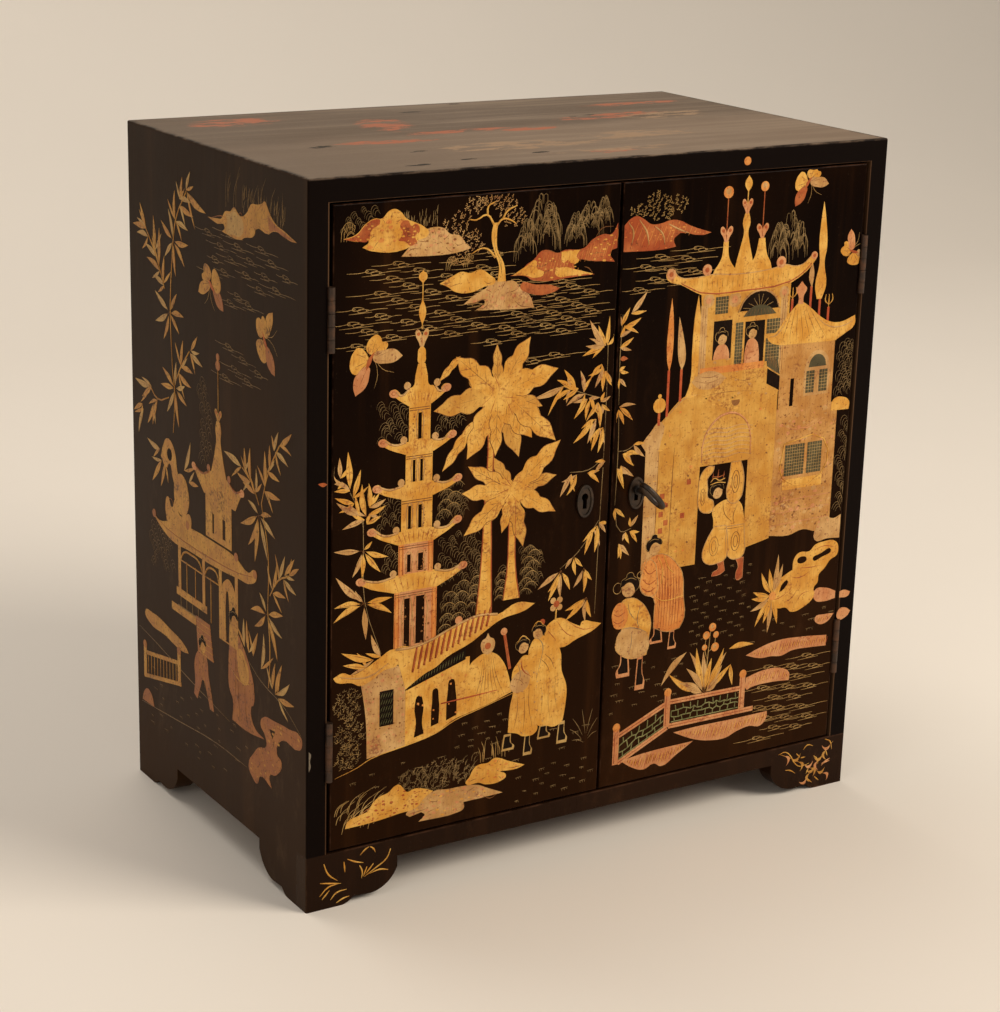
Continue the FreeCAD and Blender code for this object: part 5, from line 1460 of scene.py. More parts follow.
def gildTower():
    newSheet("gilt_right_tower", "right")
    plan = tower
    foliage(178, 191, 281, 315, 18, 7, "dim", 0.8)
    foliage(184, 191.5, 202, 264, 16, 7, "dim", 0.8)
    cut(plan["block"], "ochre", 1)
    dabs(plan["block"], 90, 1.6, "pale", 2, 1.4)
    draw([[(133, v), (181, v + 0.6)] for v in (214, 206, 198)], 0.6, "rose", 2, even)
    draw([[(133 + d, 268), (150 + d, 262), (168 + d * 0.5, 268)] for d in (0, 7)], 0.9, "rose", 2)
    lattice(141, 157, 231, 252, 4, 2.0)
    lattice(159.5, 171.6, 231, 252, 4, 2.0)
    draw([[(140, 253.2), (172.6, 253.2), (172.6, 229.6), (140, 229.6), (140, 253.2)]], 1.0, "gold", 5, even)
    block(140, 173, 221.5, 228.5, "gold", 4)
    rock(plan["corner"], "pale", 2)
    cut(plan["cap"], "gold", 3)
    block(132.4, 176.8, 276.5, 320, "ochre", 2, [(141.6, 144.6, 278.5, 297)])
    dabs(plan["block"], 90, 1.1, "rose", 2, 1.5)
    dabs(plan["block"], 70, 0.7, "brown", 2, 1.2)
    cut(plan["window"], "pale", 3)
    lattice(154.5, 161.3, 286, 300.7, 4, 2.0)
    lattice(165.3, 172.1, 286, 300.7, 4, 2.0)
    cut(plan["moon"], "olive", 4)
    cut([(119.4, 321.5), (128.5, 319), (132.3, 301), (121.5, 307.5)], "olive", 2, (), False)
    folds([[(120.5 + k * 1.4, 320 - k * 1.2), (123 + k * 1.5, 307.5 - k)] for k in range(6)], 3)
    cut([(121.9, 306), (132.4, 300), (132.4, 290.5), (121.9, 296)], "dark", 3, (), False)
    turned(146, plan["crown"], "rose", 4)
    cut(plan["roof"], "gold", 3)
    draw([[(135, 336), (128, 327.5), (122, 326.4)], [(160, 336), (171, 329), (184, 328.5), (191.5, 331.5)]], 1.2,
         "pale", 4)
    folds([[(146 + d * 0.35, 344), (150 + d * 1.0, 321.5)] for d in (-18, -12, -6, 0, 6, 12, 19)], 4)
    hang()


mainWall = {
    "wall": [(25, 267, 1), (31, 273.5), (41, 281), (49, 289), (57, 294.5), (70, 296, 1), (131.6, 296, 1),
        (131.6, 190, 1), (110.4, 186, 1), (110.4, 246.6, 1), (71.8, 246.6, 1), (71.8, 181, 1), (29, 181, 1),
        (28.7, 262, 1)],
    "return": [(25, 267, 1), (31, 273.5), (40, 280), (39, 262), (38.5, 181, 1), (29, 181, 1), (28.7, 262, 1)],
    "arch": [(73, 249), (73.4, 262), (79, 273), (90, 279.5), (102, 277.5), (110, 268), (112, 250)],
}


def gildWall():
    newSheet("gilt_right_wall", "right")
    cut(mainWall["wall"], "straw", 0)
    dabs(mainWall["wall"], 60, 0.4, "gold", 1, 5.0)
    dabs(mainWall["wall"], 14, 1.0, "amber", 1, 1.3)
    dabs(mainWall["wall"], 60, 0.6, "brown", 1, 1.2)
    waves = [[(73, 250.5 + k * 2.7), (82, 252 + k * 2.7), (92, 250.8 + k * 2.7), (102, 252.2 + k * 2.7),
             (113, 250.4 + k * 2.7)] for k in range(8)]
    draw(waves, 1.0, "pale", 1, (0.5, 1, 0.5))
    cut(mainWall["return"], "pale", 1)
    draw([mainWall["arch"]], 1.8, "rose", 1, (0.5, 1, 0.5))
    draw([[(50, 184), (50.4, 240), (51, 262)], [(38.5, 183), (39, 262)]], 0.6, "brown", 2)
    for u, v in ((41, 206), (45, 211), (41, 217), (44.5, 223), (41.5, 229), (58, 214), (62, 236)):
        block(u, u + 3.4, v, v + 3.6, "red", 1)
    draw([[(41, 280), (50, 288.4), (58, 293.6), (70, 295)]], 1.2, "pale", 1)
    flecks(40, 70, 186, 280, 16, 1.6, "red", 0.7)
    flecks(113, 130, 200, 284, 10, 1.6, "red", 0.7)
    cut([(94.5, 288), (97.5, 284), (101, 286.5), (99, 289.5)], "brown", 1)
    hang()


rightPeople = {
    "torso": [(84, 215.5), (85, 209), (85.3, 203, 1), (110.4, 201, 1), (109.5, 210), (106, 218.5), (98, 221.5),
        (90, 220.5)],
    "puffs": [[(86, 204.5, 1), (79.5, 194), (77.5, 185), (81, 180), (90, 179), (97, 182), (97.5, 194), (96, 204, 1)],
        [(96, 203, 1), (96.4, 190), (98.5, 182.5), (106, 179.5), (111.4, 182.5), (111.2, 193), (110.4, 203, 1)],
        [(84, 215.5), (77, 215), (72.2, 220), (71.8, 230), (73, 240.5), (78, 245.6), (83.5, 245.6, 1), (82.5, 242),
        (78.6, 238), (79, 231), (79.5, 225), (84, 222)], [(97, 246.5, 1), (104.8, 246.5, 1), (107.5, 238), (108, 230),
        (105, 220), (98, 219), (94.4, 226), (95.8, 235)]],
    "ovals": [((86.5, 191), 3.6, 6.5), ((104, 192), 3.4, 6.5), ((75.4, 226), 1.8, 5.5), ((101.5, 233), 3.0, 7.5)],
    "boots": [[(89.5, 180, 1), (95, 180, 1), (96.5, 173, 1), (93, 171), (86, 170.5, 1), (87, 173), (91, 175)],
        [(105, 180, 1), (111.5, 180, 1), (111.5, 166, 1), (107, 164.8), (106, 170), (107.5, 174)]],
    "hat": [(80.5, 233, 1), (81, 238), (83, 241.5, 1), (84.5, 238.5), (87, 243.5, 1), (89, 239), (92, 242, 1),
        (92.5, 237), (93, 232.6, 1)],
    "robe": [(34, 190), (42, 192.5), (50.5, 190), (58, 183), (62, 177), (64, 160), (65.5, 146), (62, 139, 1),
        (52, 138), (41, 142.5, 1), (41, 152), (40, 163), (34, 166), (29.5, 171), (30, 181)],
    "sleeve": [(31, 189), (38, 189), (42, 178), (41.5, 165.5), (36, 165), (29.5, 170), (29.5, 180)],
    "child": [(15, 164), (22, 166), (29, 163), (36, 155), (39, 146), (38, 138), (36.5, 125, 1), (25, 124),
        (15.5, 128.5), (11.5, 134.5), (14, 141), (16, 146)],
    "childSleeve": [(9, 160), (14, 164), (18.5, 161), (18.5, 148), (12, 146.5), (8.6, 152)],
    "apron": [(16, 145), (30, 144), (37, 138), (36, 126), (25, 124.5), (15.5, 129), (12, 135)],
}


def gildRightPeople():
    newSheet("gilt_right_people", "right")
    plan = rightPeople
    cut(plan["torso"], "gold", 2)
    for puff in plan["puffs"]:
        cut(puff, "gold", 3)
        draw([puff + puff[:1]], 0.8, "pale", 4, even)
    for at, wide, tall in plan["ovals"]:
        draw([ring(at, wide, tall), ring(at, wide * 0.5, tall * 0.6)], 0.55, "brown", 4, even)
    draw([[(85.3, 203), (97, 201.5), (110.4, 201.5)], [(92, 220), (94, 212), (100, 206)],
         [(104, 217), (101, 210), (102, 204)]], 0.6, "brown", 4)
    head((87, 228), 4.6, 4)
    cut(plan["hat"], "dark", 7)
    draw([[(81, 235), (84, 237.5), (88, 235.5), (92.5, 236.5)], [(81, 233.4), (87, 234.4), (93, 233.4)]], 0.7, "gold",
         8, even)
    draw([[(82.5, 236), (83, 241)], [(86.5, 236), (87, 243)], [(91, 236), (91.7, 241.5)],
         [(82, 239), (87, 238), (92, 239)]], 0.8, "red", 8)
    for shape in plan["boots"]:
        cut(shape, "red", 2)
        draw([shape + shape[:1]], 0.5, "rose", 3, even)
    cut(plan["robe"], "amber", 2)
    hatch(plan["robe"], 1.4, "red", 3, 0.03, 0.5)
    for shape in (plan["robe"], plan["sleeve"], plan["child"]):
        draw([shape + shape[:1]], 0.6, "pale", 5, even)
    draw([[(43 + k * 2.3, 186 - abs(k - 2)), (45 + k * 2.2, 164), (44.5 + k * 2.2, 142)] for k in range(8)], 0.6,
         "red", 4)
    cut(plan["sleeve"], "amber", 4)
    draw([[(32, 184), (36, 180), (41, 182)], [(31, 177), (36, 173), (41, 175)], [(31, 171), (36, 168), (41, 170)]],
         0.7, "red", 5, even)
    draw([[(42, 191), (46, 183), (46, 172)], [(47, 191), (51, 182), (55, 178)], [(42, 163), (48, 160), (64, 161)]],
         0.8, "gold", 4, (0.8, 1, 0.8))
    head((39, 197.5), 5.2, 5)
    boot(50, 38.5, 131.5, 143, "rose")
    boot(52.5, 60, 125.5, 139, "rose")
    cut(plan["child"], "gold", 4)
    cut(plan["apron"], "pale", 5)
    cut(plan["childSleeve"], "amber", 5)
    draw([[(9.5, 157), (13, 155), (18, 157)], [(9.5, 152), (13, 150), (18, 152)]], 0.7, "red", 6, even)
    draw([[(20, 164), (22, 156), (27, 150)], [(16, 146), (26, 145), (37, 140)], [(30, 160), (28, 150), (30, 144)],
         [(24, 143), (24, 134), (22, 127)]], 0.5, "grey", 6)
    head((20.5, 173), 6.2, 5, -1)
    draw([ring((11.5, 174), 3.2, 3.6), ring((29, 180.5), 2.6, 2.2)], 0.5, "line", 4, even)
    boot(25, 13, 112.5, 131, "rose")
    boot(27.5, 36, 101.5, 126, "rose")
    hang()


garden = {
    "rock": [(134.5, 144), (137, 151), (141, 158), (147, 161.5), (153.8, 164.5, 1), (154, 170.6), (156, 174.2),
        (159.5, 176), (167.4, 175.6), (171.7, 179.2), (178.9, 180.6), (189.7, 179.2), (192.3, 174), (191, 169.2),
        (186.1, 167), (181.1, 161.3), (176.8, 157.7), (176, 152), (173.2, 149.1), (173.9, 143.3), (164.6, 136.2),
        (154.5, 134.7), (150.2, 138.3), (143, 139)],
    "holes": [[(157.2, 170.4), (161, 172.8), (165.4, 170.4), (161, 167.8)],
        [(170.5, 169.2), (177, 172.6), (186, 174), (179, 170)], [(143.4, 150, 1), (146, 156), (150.2, 157.5),
        (148, 152.5)]],
    "tail": [(174, 146.5), (184, 147), (192.3, 143.5, 1), (192.3, 138.5, 1), (183, 137.5), (174.5, 140)],
    "spikes": [(141, 177), (134, 168), (127.6, 166.3), (145.2, 169.9), (121.5, 153.7), (120.4, 149.1), (120, 140.5),
        (124.4, 129), (131.2, 130.4), (135.2, 123), (143, 128.3)],
    "banks": [[(118.6, 109.7, 1), (128.7, 112.9), (144.5, 115.8), (164.6, 115.1), (187.2, 112.6, 1), (187.2, 105, 1),
        (172, 106.2), (157.4, 106.5), (148.8, 104.3), (140.2, 105.4), (130.8, 105.7)],
        [(120, 93.6, 1), (134.4, 96.4), (150.2, 95), (156.7, 90.7), (156.7, 85.3, 1), (140.2, 86.7), (124.4, 86),
        (120.8, 85)], [(176, 126.6), (184.6, 128), (192.3, 127.6, 1), (186.8, 122.3), (179, 122)],
        [(61.7, 65.6, 1), (78.9, 66.2), (110, 65.8), (139.5, 66, 1), (139.5, 62), (134.4, 56.5), (125.1, 58),
        (114.3, 56.3), (105.7, 53.4), (91.8, 54.1), (80.3, 57), (71.7, 60.6)],
        [(20.1, 53.6, 1), (37.3, 55.5), (78.2, 56.3, 1), (64.6, 49.1), (53.1, 43.4), (46.6, 46.6), (38.7, 44),
        (28.7, 47.6)]],
    "plantRoot": (85.4, 89),
    "plant": [(55.2, 107.9), (69.6, 109.3), (71.7, 120.1), (77.1, 122.3), (82.9, 118.7), (69.6, 95.4), (99.7, 118.3),
        (101.9, 115.1), (99, 106.5), (106.2, 105.8), (96.8, 97.1), (64, 100), (90, 113)],
    "bent": [(49.5, 100.7, 69, 120.8), (108.3, 90.7, 106, 106), (124.5, 117, 104, 117)],
    "balls": [(89.3, 134.8, 2.9), (84.6, 129.8, 2.8), (92.5, 129.1, 2.3), (83.6, 121.5, 2.1), (92.2, 120.5, 3.1)],
    "posts": [(15.5, 52, 80), (55.5, 70.5, 97), (117, 72.5, 99)],
    "rails": [((17.5, 72), (54, 87)), ((17.5, 52.8), (56, 70.2)), ((57, 88), (115.4, 87)), ((57, 71), (127, 70.5))],
    "panels": [((18, 55.5), (53, 71.5), (53, 84), (18, 69)), ((59, 73.5), (114.5, 73.5), (114.5, 84.5), (59, 85))],
}


def crackle(corners, across, up, tone="line"):
    a, b, c, d = (Vector(p) for p in corners)
    knots = {}
    for i in range(across + 1):
        for k in range(up + 1):
            jitter = 0.30 if 0 < i < across and 0 < k < up else 0.0
            s, t = (i + dice.uniform(-jitter, jitter)) / across, (k + dice.uniform(-jitter, jitter)) / up
            knots[i, k] = tuple(a.lerp(b, s).lerp(d.lerp(c, s), t))
    lines = []
    for i in range(across):
        for k in range(up):
            lines.append([knots[i, k], knots[i + 1, k]])
            if (i + k) % 2:
                lines.append([knots[i, k], knots[i, k + 1]])
    draw(lines, 0.9, tone, 1, (0.9, 1, 0.9))


def gildGarden():
    newSheet("gilt_right_garden", "right")
    plan = garden
    fringe(68, 118, 125, 176, 44)
    fringe(8, 66, 88, 122, 22)
    fringe(120, 190, 118, 134, 12)
    water(122, 191, 46, 102, 20, "line")
    for bank in plan["banks"]:
        cut(bank, "rose", 1)
        hatch(bank, 1.7, "red", 2, 0.30, 0.7)
        hatch(bank, 2.9, "gold", 2, 0.30, 0.9)
    cut(plan["tail"], "rose", 1)
    rock(plan["rock"], "gold", 2, "brown", plan["holes"])
    creases = [[(137, 146), (143, 146), (152, 150)], [(152, 160), (160, 158), (170, 162)],
               [(158, 140), (163, 146), (171, 147)], [(172, 176), (180, 177.5), (189, 175.5)],
               [(158, 165), (168, 164), (178, 164)], [(148, 142), (155, 145), (160, 152)]]
    draw(creases, 0.8, "red", 3)
    spray((137.5, 148.5), plan["spikes"], "gold", 4, 3.6)
    disc((138, 148.5), 3.0, "amber", 5)
    spray(plan["plantRoot"], plan["plant"], "pale", 3, 4.4)
    leaves(plan["bent"], "gold", 3)
    draw([[(85.4, 90), (86.5, 112), (88, 133)], [(86.5, 112), (84, 120), (84.6, 128)],
         [(87, 118), (91, 121), (92.4, 128)]], 0.9, "line", 1)
    for u, v, size in plan["balls"]:
        disc((u, v), size, "amber", 4)
        disc((u - 0.4, v + 0.5), size * 0.45, "pale", 5)
    crackle(plan["panels"][0], 11, 3, "moss")
    crackle(plan["panels"][1], 18, 3, "moss")
    for first, last in plan["rails"]:
        beam(first, last, 3.4, "rose", 2)
        draw([[first, last]], 0.6, "red", 3, even)
    for u, low, high in plan["posts"]:
        block(u - 2.3, u + 2.3, low, high - 3.5, "rose", 3)
        draw([[(u - 1, low + 1), (u - 1, high - 4)]], 0.7, "red", 4, even)
        disc((u, high - 2), 2.9, "amber", 4)
    hang()


gildRightSky()
gildWall()
gildPalace()
gildTower()
gildRightPeople()
gildGarden()
print("right door gilded")


# left side, in duller copper gilt, darkened partly as painted shade of this side

sideIsland = {
    "isle": [(-5, 406.6, 1), (8, 407.8), (13.6, 408.6), (19.1, 413.8), (26.3, 415), (31.1, 418.2), (35.9, 415.8),
        (39.9, 414.2), (47.8, 417.4), (54.2, 423.7), (60.6, 424.5), (67.8, 426.1), (71.7, 428.1), (74.9, 425.3),
        (79.7, 420.5), (86.1, 417), (95.7, 415), (111.6, 411, 1), (103.6, 410.6), (90.1, 413), (80.5, 411.8),
        (76.5, 409.8), (59.8, 409.8), (58.2, 406.2), (44.6, 402.2), (39.9, 400.2), (14.3, 401, 1), (18.3, 404.2),
        (8, 404.6)],
    "flush": [[(76, 420, 1), (86, 416), (96, 414), (109, 411, 1), (96, 411.6), (84, 413.4), (78, 412)]],
    "light": [[(20, 412.6, 1), (27, 414), (31, 417), (36, 414.6), (41, 413.4), (44, 409), (41, 403), (30, 401.6),
        (20, 402.4), (22, 407)]],
}


def gildSideIsland():
    newSheet("gilt_side_island", "side")
    grass(42, 98, 416, 427, 50, 8, 0.1, "thread")
    grass(12, 96, 414, 422, 16, 24, 0.15, "thread", 0.4)
    water(-22, 110, 372, 402, 16, "thread")
    water(14, 72, 358, 367, 3, "thread")
    water(6, 76, 310, 334, 6, "thread")
    rock(sideIsland["isle"], "copper", 1, "rust")
    for flush in sideIsland["flush"]:
        cut(flush, "rust", 2)
    for patch in sideIsland["light"]:
        cut(patch, "line", 2)
    tints = ("copper", "copper", "rust")
    butterfly((71, 346), 60, 1.0, 1, tints)
    butterfly((-1, 366), 25, 0.95, -1, tints)
    hang()


sideBamboo = {
    "stars": [((-56, 383), [(-63, 402), (-74, 393), (-34, 384), (-69, 371), (-53, 361), (-40, 369.5)]),
        ((-63, 336), [(-85, 346), (-52, 350), (-42, 337), (-85, 326.5), (-72.6, 317), (-49, 325)]),
        ((-56, 288), [(-54, 306), (-75, 298), (-78, 286.5), (-69, 270), (-51, 264), (-39, 280.5), (-41, 293)]),
        ((63, 237), [(48, 242.6), (79, 240.6), (37.5, 225), (84, 228), (48, 214), (57, 206), (74, 212)]),
        ((73, 177), [(63, 188), (94.5, 182.6), (51, 173.5), (93, 168), (56, 164), (87, 151.6)])],
    "leaves": [(-30, 430, -36, 418), (-41.5, 425, -45, 411), (-8, 408, -35, 417), (-29, 411, -46, 411),
        (-26, 403, -46, 407), (-53, 415, -53, 397), (-34, 393, -51.5, 396), (-106.5, 399, -98, 385),
        (-118, 384, -97, 384), (-112, 379, -94.5, 379), (-86, 394, -84, 372), (-77, 387.5, -78, 364),
        (-99, 374, -82, 368), (-97, 365.5, -77, 360), (-70, 371, -72, 353), (-87, 355.6, -70.6, 352),
        (-22, 329, -32, 318), (-43.5, 322, -47, 305), (-15, 311, -33, 316), (-29, 303.6, -46, 304),
        (-32, 294, -50.7, 299.6), (-119, 281, -96, 280.5), (-108.5, 271, -93, 281), (-122, 259, -108, 266),
        (-115, 245, -106.5, 263), (-100, 255, -90.5, 270), (-92, 256, -84, 274), (-101, 244.6, -81, 242),
        (-94, 217.5, -79, 235), (-80.6, 217, -74, 234), (-34, 258, -44, 237), (-23, 232, -37, 231),
        (105.6, 298, 90, 287), (88.5, 295, 83, 282), (77, 284, 76.5, 270), (70.6, 279, 70.6, 257),
        (101, 277, 84.5, 282), (90, 265, 74, 267), (91, 254, 70, 254), (15, 265, 39, 261), (43, 274, 44, 260),
        (51, 276, 52, 255), (59, 265, 58, 250), (33, 256, 51, 255), (41, 252, 57, 248.6), (97, 221, 89, 204),
        (109, 222.5, 96.5, 209), (115, 218.5, 103, 210.5), (111.6, 201, 95, 206), (86, 212, 80.5, 194.6),
        (98, 195, 81, 193), (41, 164, 42, 146), (45, 164, 48, 144), (60.6, 161, 54, 143.6), (68.5, 163, 65, 139),
        (84, 149, 80, 131), (93, 151, 84, 129), (103, 142, 87, 130), (109, 129.6, 88, 127.6)],
    "stems": [[(-35, 418), (-52, 397), (-57, 380)], [(-57, 380), (-62, 340), (-60, 300)],
        [(-60, 300), (-57, 285), (-60, 258)], [(-98, 384), (-82, 368), (-70, 350)],
        [(-34, 317), (-48, 303), (-56, 292)], [(-97, 282), (-84, 275), (-66, 280)], [(90, 287), (76, 268), (66, 245)],
        [(66, 245), (75, 215), (74, 180)], [(74, 180), (77, 155), (75, 130)], [(40, 261), (54, 254), (63, 243)],
        [(102, 210), (88, 203), (77, 190)]],
    "clump": [[(-80, 238, 1), (-76, 246), (-70, 252), (-62, 250), (-57, 243), (-55, 234), (-50, 226), (-56, 222),
        (-62, 228), (-66, 236), (-72, 232)], [(-60, 222), (-55, 231), (-46, 233), (-39, 226), (-38, 214), (-46, 206),
        (-56, 209)], [(-72, 196, 1), (-74, 206), (-70, 213), (-64, 207), (-58, 214), (-52, 205), (-44, 207),
        (-36, 209), (-36, 199), (-44, 196, 1)]],
    "clumpHole": [(-70, 243), (-65, 246), (-63, 240), (-67, 238)],
}


def gildSideBamboo():
    newSheet("gilt_side_bamboo", "side")
    plan = sideBamboo
    draw(plan["stems"], 1.3, "copper", 1, (0.9, 1, 0.7))
    for outline in plan["clump"]:
        rock(outline, "copper", 1, "rust")
    cut(plan["clumpHole"], "dark", 2)
    foliage(-24, -8, 250, 300, 16, 8, "thread", 0.7)
    leaves(plan["leaves"], "copper", 2, True)
    for root, tips in plan["stars"]:
        spray(root, tips, "copper")
    hang()


sidePavilion = {
    "axis": 7.0,
    "spire": [(12, 245, 1), (10, 249), (5, 262), (3, 270), (4, 276), (2.4, 281.5, 1)],
    "bud": (281, 289, 4.8), "balls": [(322.3, 2.3), (317, 3.2)],
    "lowRoof": [(-95, 196.5, 1), (-84, 193), (-70, 196), (-41, 200.5), (0, 201.5), (30, 200.5), (48, 196), (57, 200),
        (59.5, 196.5), (52, 190), (34, 188), (0, 185.5), (-40, 185), (-59, 184), (-72, 186), (-88, 192)],
    "columns": [(-55, -51, 150), (-18.4, -14.6, 150), (6, 10, 140), (29, 33, 140)],
    "door": [(10.5, 140, 1), (10.5, 176), (15, 181), (20, 183), (25, 181), (29, 176), (29, 140, 1)],
}


def gildPavilion():
    newSheet("gilt_side_pavilion", "side")
    plan = sidePavilion
    axis = plan["axis"]
    draw([[(axis, 322), (axis, 288)]], 0.9, "copper", 1, even)
    for v, size in plan["balls"]:
        disc((axis, v), size, "rust", 2)
    bud(axis, *plan["bud"], "copper")
    turned(axis, plan["spire"], "copper", 2)
    block(-12.4, 24.7, 203, 231, "copper", 1, [(-2.8, -0.3, 207, 220), (11.8, 16, 207, 220)])
    roof((-30.5, 41, 243.5), (-14.5, 30.3, 230.5), (-5, 19, 247), "copper", "rust")
    for u0, u1, low in plan["columns"]:
        block(u0, u1, low, 188, "copper", 1)
    openings = [[(-51, 176), (-46, 181.5), (-35, 183), (-23, 181.5), (-18, 176)],
                [(-15, 176), (-10, 181.5), (-4, 183), (3, 181.5), (6, 176)]]
    draw(openings, 1.6, "copper", 1, even)
    draw([[(-42, 176), (-42, 154)], [(-29, 176), (-29, 154)], [(-51, 175), (6, 175)], [(-6, 176), (-6, 146)]], 1.1,
         "copper", 1, even)
    block(-58, -12, 150, 155, "copper", 1)
    crackle([(-56, 143), (-16, 143), (-16, 150), (-56, 150)], 9, 1, "thread")
    block(-66, -29, 137, 142.4, "copper", 1)
    cut([(-29, 144), (-8, 144), (-3, 120), (-26, 120)], "rust", 1, (), False)
    draw([[(-28 + k * 0.5, 141 - k * 4), (-7 + k * 0.9, 141 - k * 4)] for k in range(6)], 0.7, "copper", 2, even)
    cut(plan["door"], "copper", 2, [[(16, 140.8, 1), (16, 170), (18, 175), (20.2, 170), (20.2, 140.8, 1)]])
    cut(plan["lowRoof"], "copper", 3)
    draw([[(-90, 194), (-72, 190.5), (-40, 189), (0, 189.5), (34, 191.5), (54, 195)]], 1.3, "rust", 4)
    for at in ((-92, 195.5), (57, 197.5), (-40, 201.5), (31, 201)):
        disc(at, 2.8, "rust", 4)
    draw([[(u, 190.5), (u + 1, 199)] for u in range(-64, 44, 6)], 0.5, "rust", 4)
    foliage(-100, -66, 160, 190, 18, 8, "thread", 0.8)
    hang()


sidePeople = {
    "robe": [(22, 150), (30, 152), (38, 147), (51, 132), (55, 122), (54, 111), (51, 109), (54, 98), (69, 94, 1),
        (45, 90.5), (24, 91, 1), (25, 105), (20, 111), (19, 124.5), (20, 138)],
    "sleeve": [(34, 142), (44, 137), (48, 126), (40, 120), (33, 128)],
    "child": [(-27, 120), (-20, 123), (-13, 119), (-11, 109), (-7, 98), (-3, 86, 1), (-9, 86, 1), (-14, 97),
        (-19, 103), (-23, 97), (-28, 87, 1), (-33, 89, 1), (-31, 100), (-32, 110)],
    "rock": [(119.6, 109), (118, 113), (102, 112.7), (84, 111), (66, 107), (64, 102), (70, 97), (72, 91), (61, 85.6),
        (55, 80), (47, 68), (53, 62), (59, 60.5), (63, 67), (79, 65, 1), (76, 72), (85, 76), (92.5, 87), (86, 91),
        (93, 102), (116, 104)],
    "hole": [(76, 103.5, 1), (84, 104.5, 1), (80, 98, 1)],
    "log": [(-110, 121), (-98, 124), (-70, 121.5), (-45, 116.5), (-41, 113.5, 1), (-52, 112), (-78, 114.5),
        (-104, 116)],
    "redRock": [(-117, 55.5, 1), (-114, 62), (-108, 66), (-101, 63), (-97.5, 56, 1)],
    "ground": [[(48, 138), (64, 131), (96, 124.5), (118, 114)], [(-120, 108), (-90, 104), (-40, 96), (20, 88)],
        [(-118, 54), (-60, 60), (0, 66), (44, 66)]],
}


def gildSidePeople():
    newSheet("gilt_side_people", "side")
    plan = sidePeople
    draw(plan["ground"], 0.8, "thread", 0)
    fringe(-100, 44, 62, 90, 26, "thread")
    fringe(-116, 10, 44, 56, 12, "thread")
    rock(plan["rock"], "rust", 1, "copper", [plan["hole"]])
    dabs(plan["rock"], 110, 0.9, "copper", 2, 1.6)
    draw([[(70, 105), (90, 108), (112, 109)], [(58, 70), (66, 78), (80, 84)], [(76, 92), (82, 96), (88, 98)]], 0.8,
         "rust", 2)
    rock(plan["log"], "copper", 1, "rust")
    rock(plan["redRock"], "rust", 1, "copper")
    cut(plan["child"], "rust", 1)
    head((-19, 126), 4.6, 2, 1, "copper")
    folds([arc((-24, 117), (-27, 99), 0.06), arc((-18, 117), (-16, 98), -0.05)], 2, "copper")
    cut(plan["robe"], "rust", 1)
    cut(plan["sleeve"], "copper", 2)
    folds([arc((28, 146), (26, 96), 0.05), arc((33, 126), (36, 94), -0.05), arc((42, 118), (46, 95), -0.06),
          arc((36, 140), (45, 126), 0.12)], 3, "brown", 0.6)
    draw([[(21, 126), (35, 121), (52, 124)]], 1.3, "copper", 2)
    head((27.5, 158.5), 5.2, 2, 1, "copper")
    for u, low, high in ((-111, 74, 99), (-56, 86, 112)):
        block(u - 2.3, u + 2.3, low, high - 3, "copper", 2)
        disc((u, high - 1.5), 2.8, "rust", 3)
    beam((-109, 92), (-58, 101.6), 2.8, "copper", 1)
    beam((-113, 74.5), (-53, 88), 2.8, "copper", 1)
    draw([[(u, 76.5 + (u + 108) * 0.23), (u, 92 + (u + 108) * 0.19)] for u in range(-106, -59, 5)], 0.9, "copper", 1,
         even)
    hang()


gildSideIsland()
gildSideBamboo()
gildPavilion()
gildSidePeople()
print("left side gilded")


# feet, stiles and top rail

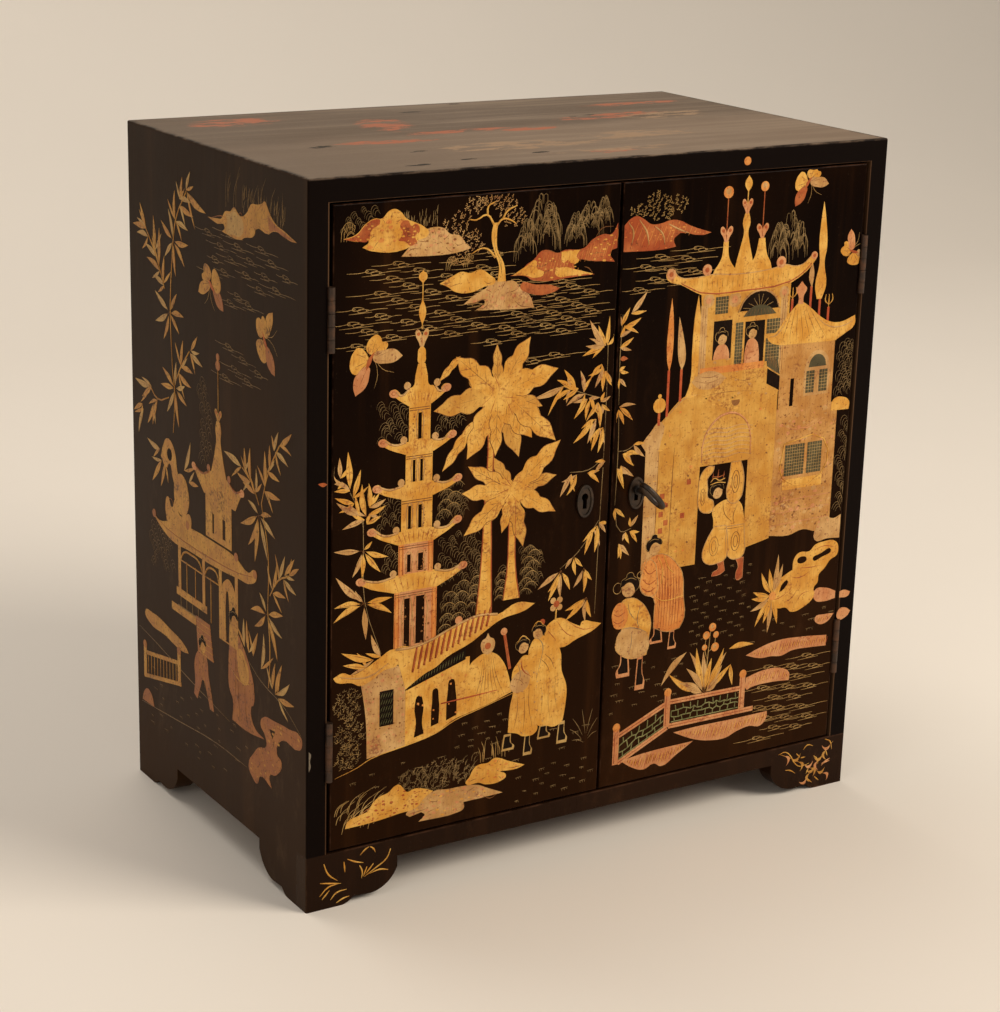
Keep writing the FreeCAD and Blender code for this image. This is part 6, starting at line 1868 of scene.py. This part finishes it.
feet = {
    "left": [[(-198, 30.4), (-194.9, 22.8), (-188.5, 17.2)], [(-200.4, 18), (-193.3, 16.4), (-186, 14.8)],
        [(-200.8, 9.2), (-194.9, 14.2), (-188.5, 15)], [(-199.2, 6.8), (-194, 12)],
        [(-193.3, 5.3), (-189.3, 9.2), (-182.1, 10)], [(-189.3, 2.4), (-184.5, 4.4), (-180.1, 5)],
        [(-184.1, 28.8), (-183.3, 21.6)], [(-181.7, 30), (-176, 27), (-170.5, 25.2)],
        [(-172.9, 30.8), (-169, 34), (-166.6, 35)], [(-166, 35), (-163.5, 33), (-162.2, 30.4)],
        [(-173.3, 24), (-171.3, 19.6), (-171.7, 14.8)], [(-151.4, 30.4), (-154.2, 24.4), (-162.2, 19.6),
        (-170.1, 15.4)], [(-153, 16.5), (-159, 18), (-166.2, 16.8)], [(-168, 22), (-170.5, 16)],
        [(-163.5, 23), (-169, 17)]],
    "right": [[(152.4, 31.2), (158.3, 32), (163.1, 28), (167.1, 22), (171.9, 18.8), (179.9, 19.6)],
        [(173.9, 30.8), (177.5, 33.6), (182.3, 32)], [(192.6, 35), (197.4, 32.4), (199.4, 26)],
        [(183.5, 24.4), (187, 21.2), (187.8, 17.2)], [(159.1, 18.4), (163.5, 17.4), (167.9, 14.5)],
        [(179, 8.4), (181.5, 6), (183.5, 4.5)], [(185.4, 8.4), (189.4, 4.9)], [(194.2, 26), (195.8, 22)],
        [(179.9, 16.4), (177.5, 12)], [(168, 29), (171, 26)], [(172, 25), (176, 25)]],
    "acanthus": [[(154, 31), (166, 25), (176, 19), (186, 13), (196, 8)],
        [(200, 32), (194, 26), (188, 20), (182, 13), (177, 7)]],
    "chip": [(-208.4, 93, 1), (-207.2, 96), (-207.7, 100), (-207.0, 104), (-208.4, 106, 1)],
    "rose": [[(191, 15.6), (194, 18), (198.2, 19.6)], [(191, 17), (198, 18)]],
    "stiles": [[(196.2, 142.4, 1), (200, 143), (205.5, 141, 1), (204, 138.2), (196.2, 138, 1)],
        [(196.2, 129), (202, 130), (206.8, 127, 1), (204, 123.5), (196.2, 122.6)]],
}


def acanthus(stem, reach, count, tone):
    for k in range(count):
        place = (k + 0.5) / count * (len(stem) - 1)
        first, last = Vector(stem[int(place)]), Vector(stem[int(place) + 1])
        at, ahead = first.lerp(last, place % 1), (last - first).normalized()
        side = Vector((-ahead.y, ahead.x))
        way = 1 if k % 2 else -1
        out = side * way * reach * (1 - 0.4 * k / count)
        leaf(tuple(at), tuple(at + out + ahead * reach * 0.9), reach * 0.36, tone if k % 3 else "rose", 1,
             -0.38 * way)
    draw([stem], 0.5, tone, 1, (1.0, 0.9, 0.3))


def gildFrame():
    newSheet("gilt_foot_sprays", "frame")
    draw(feet["left"], 1.2, "gold", 1, (0.5, 1.0, 0.3))
    draw(feet["right"], 1.0, "gold", 1, (0.5, 1.0, 0.3))
    for stem in feet["acanthus"]:
        acanthus(stem, 6.0, 7, "copper")
    draw(feet["rose"], 1.5, "rose", 1, (0.5, 1.0, 0.3))
    hang()
    newSheet("gilt_frame_marks", "frame")
    for strip in feet["stiles"]:
        cut(strip, "rose", 1)
    leaf((-197, 271), (-203, 272), 2.4, "red", 1)
    disc((96.5, 441), 2.7, "amber", 1)
    cut(feet["chip"], "grey", 1)  # a knock at the corner
    hang()


gildFrame()
print("feet and frame gilded")
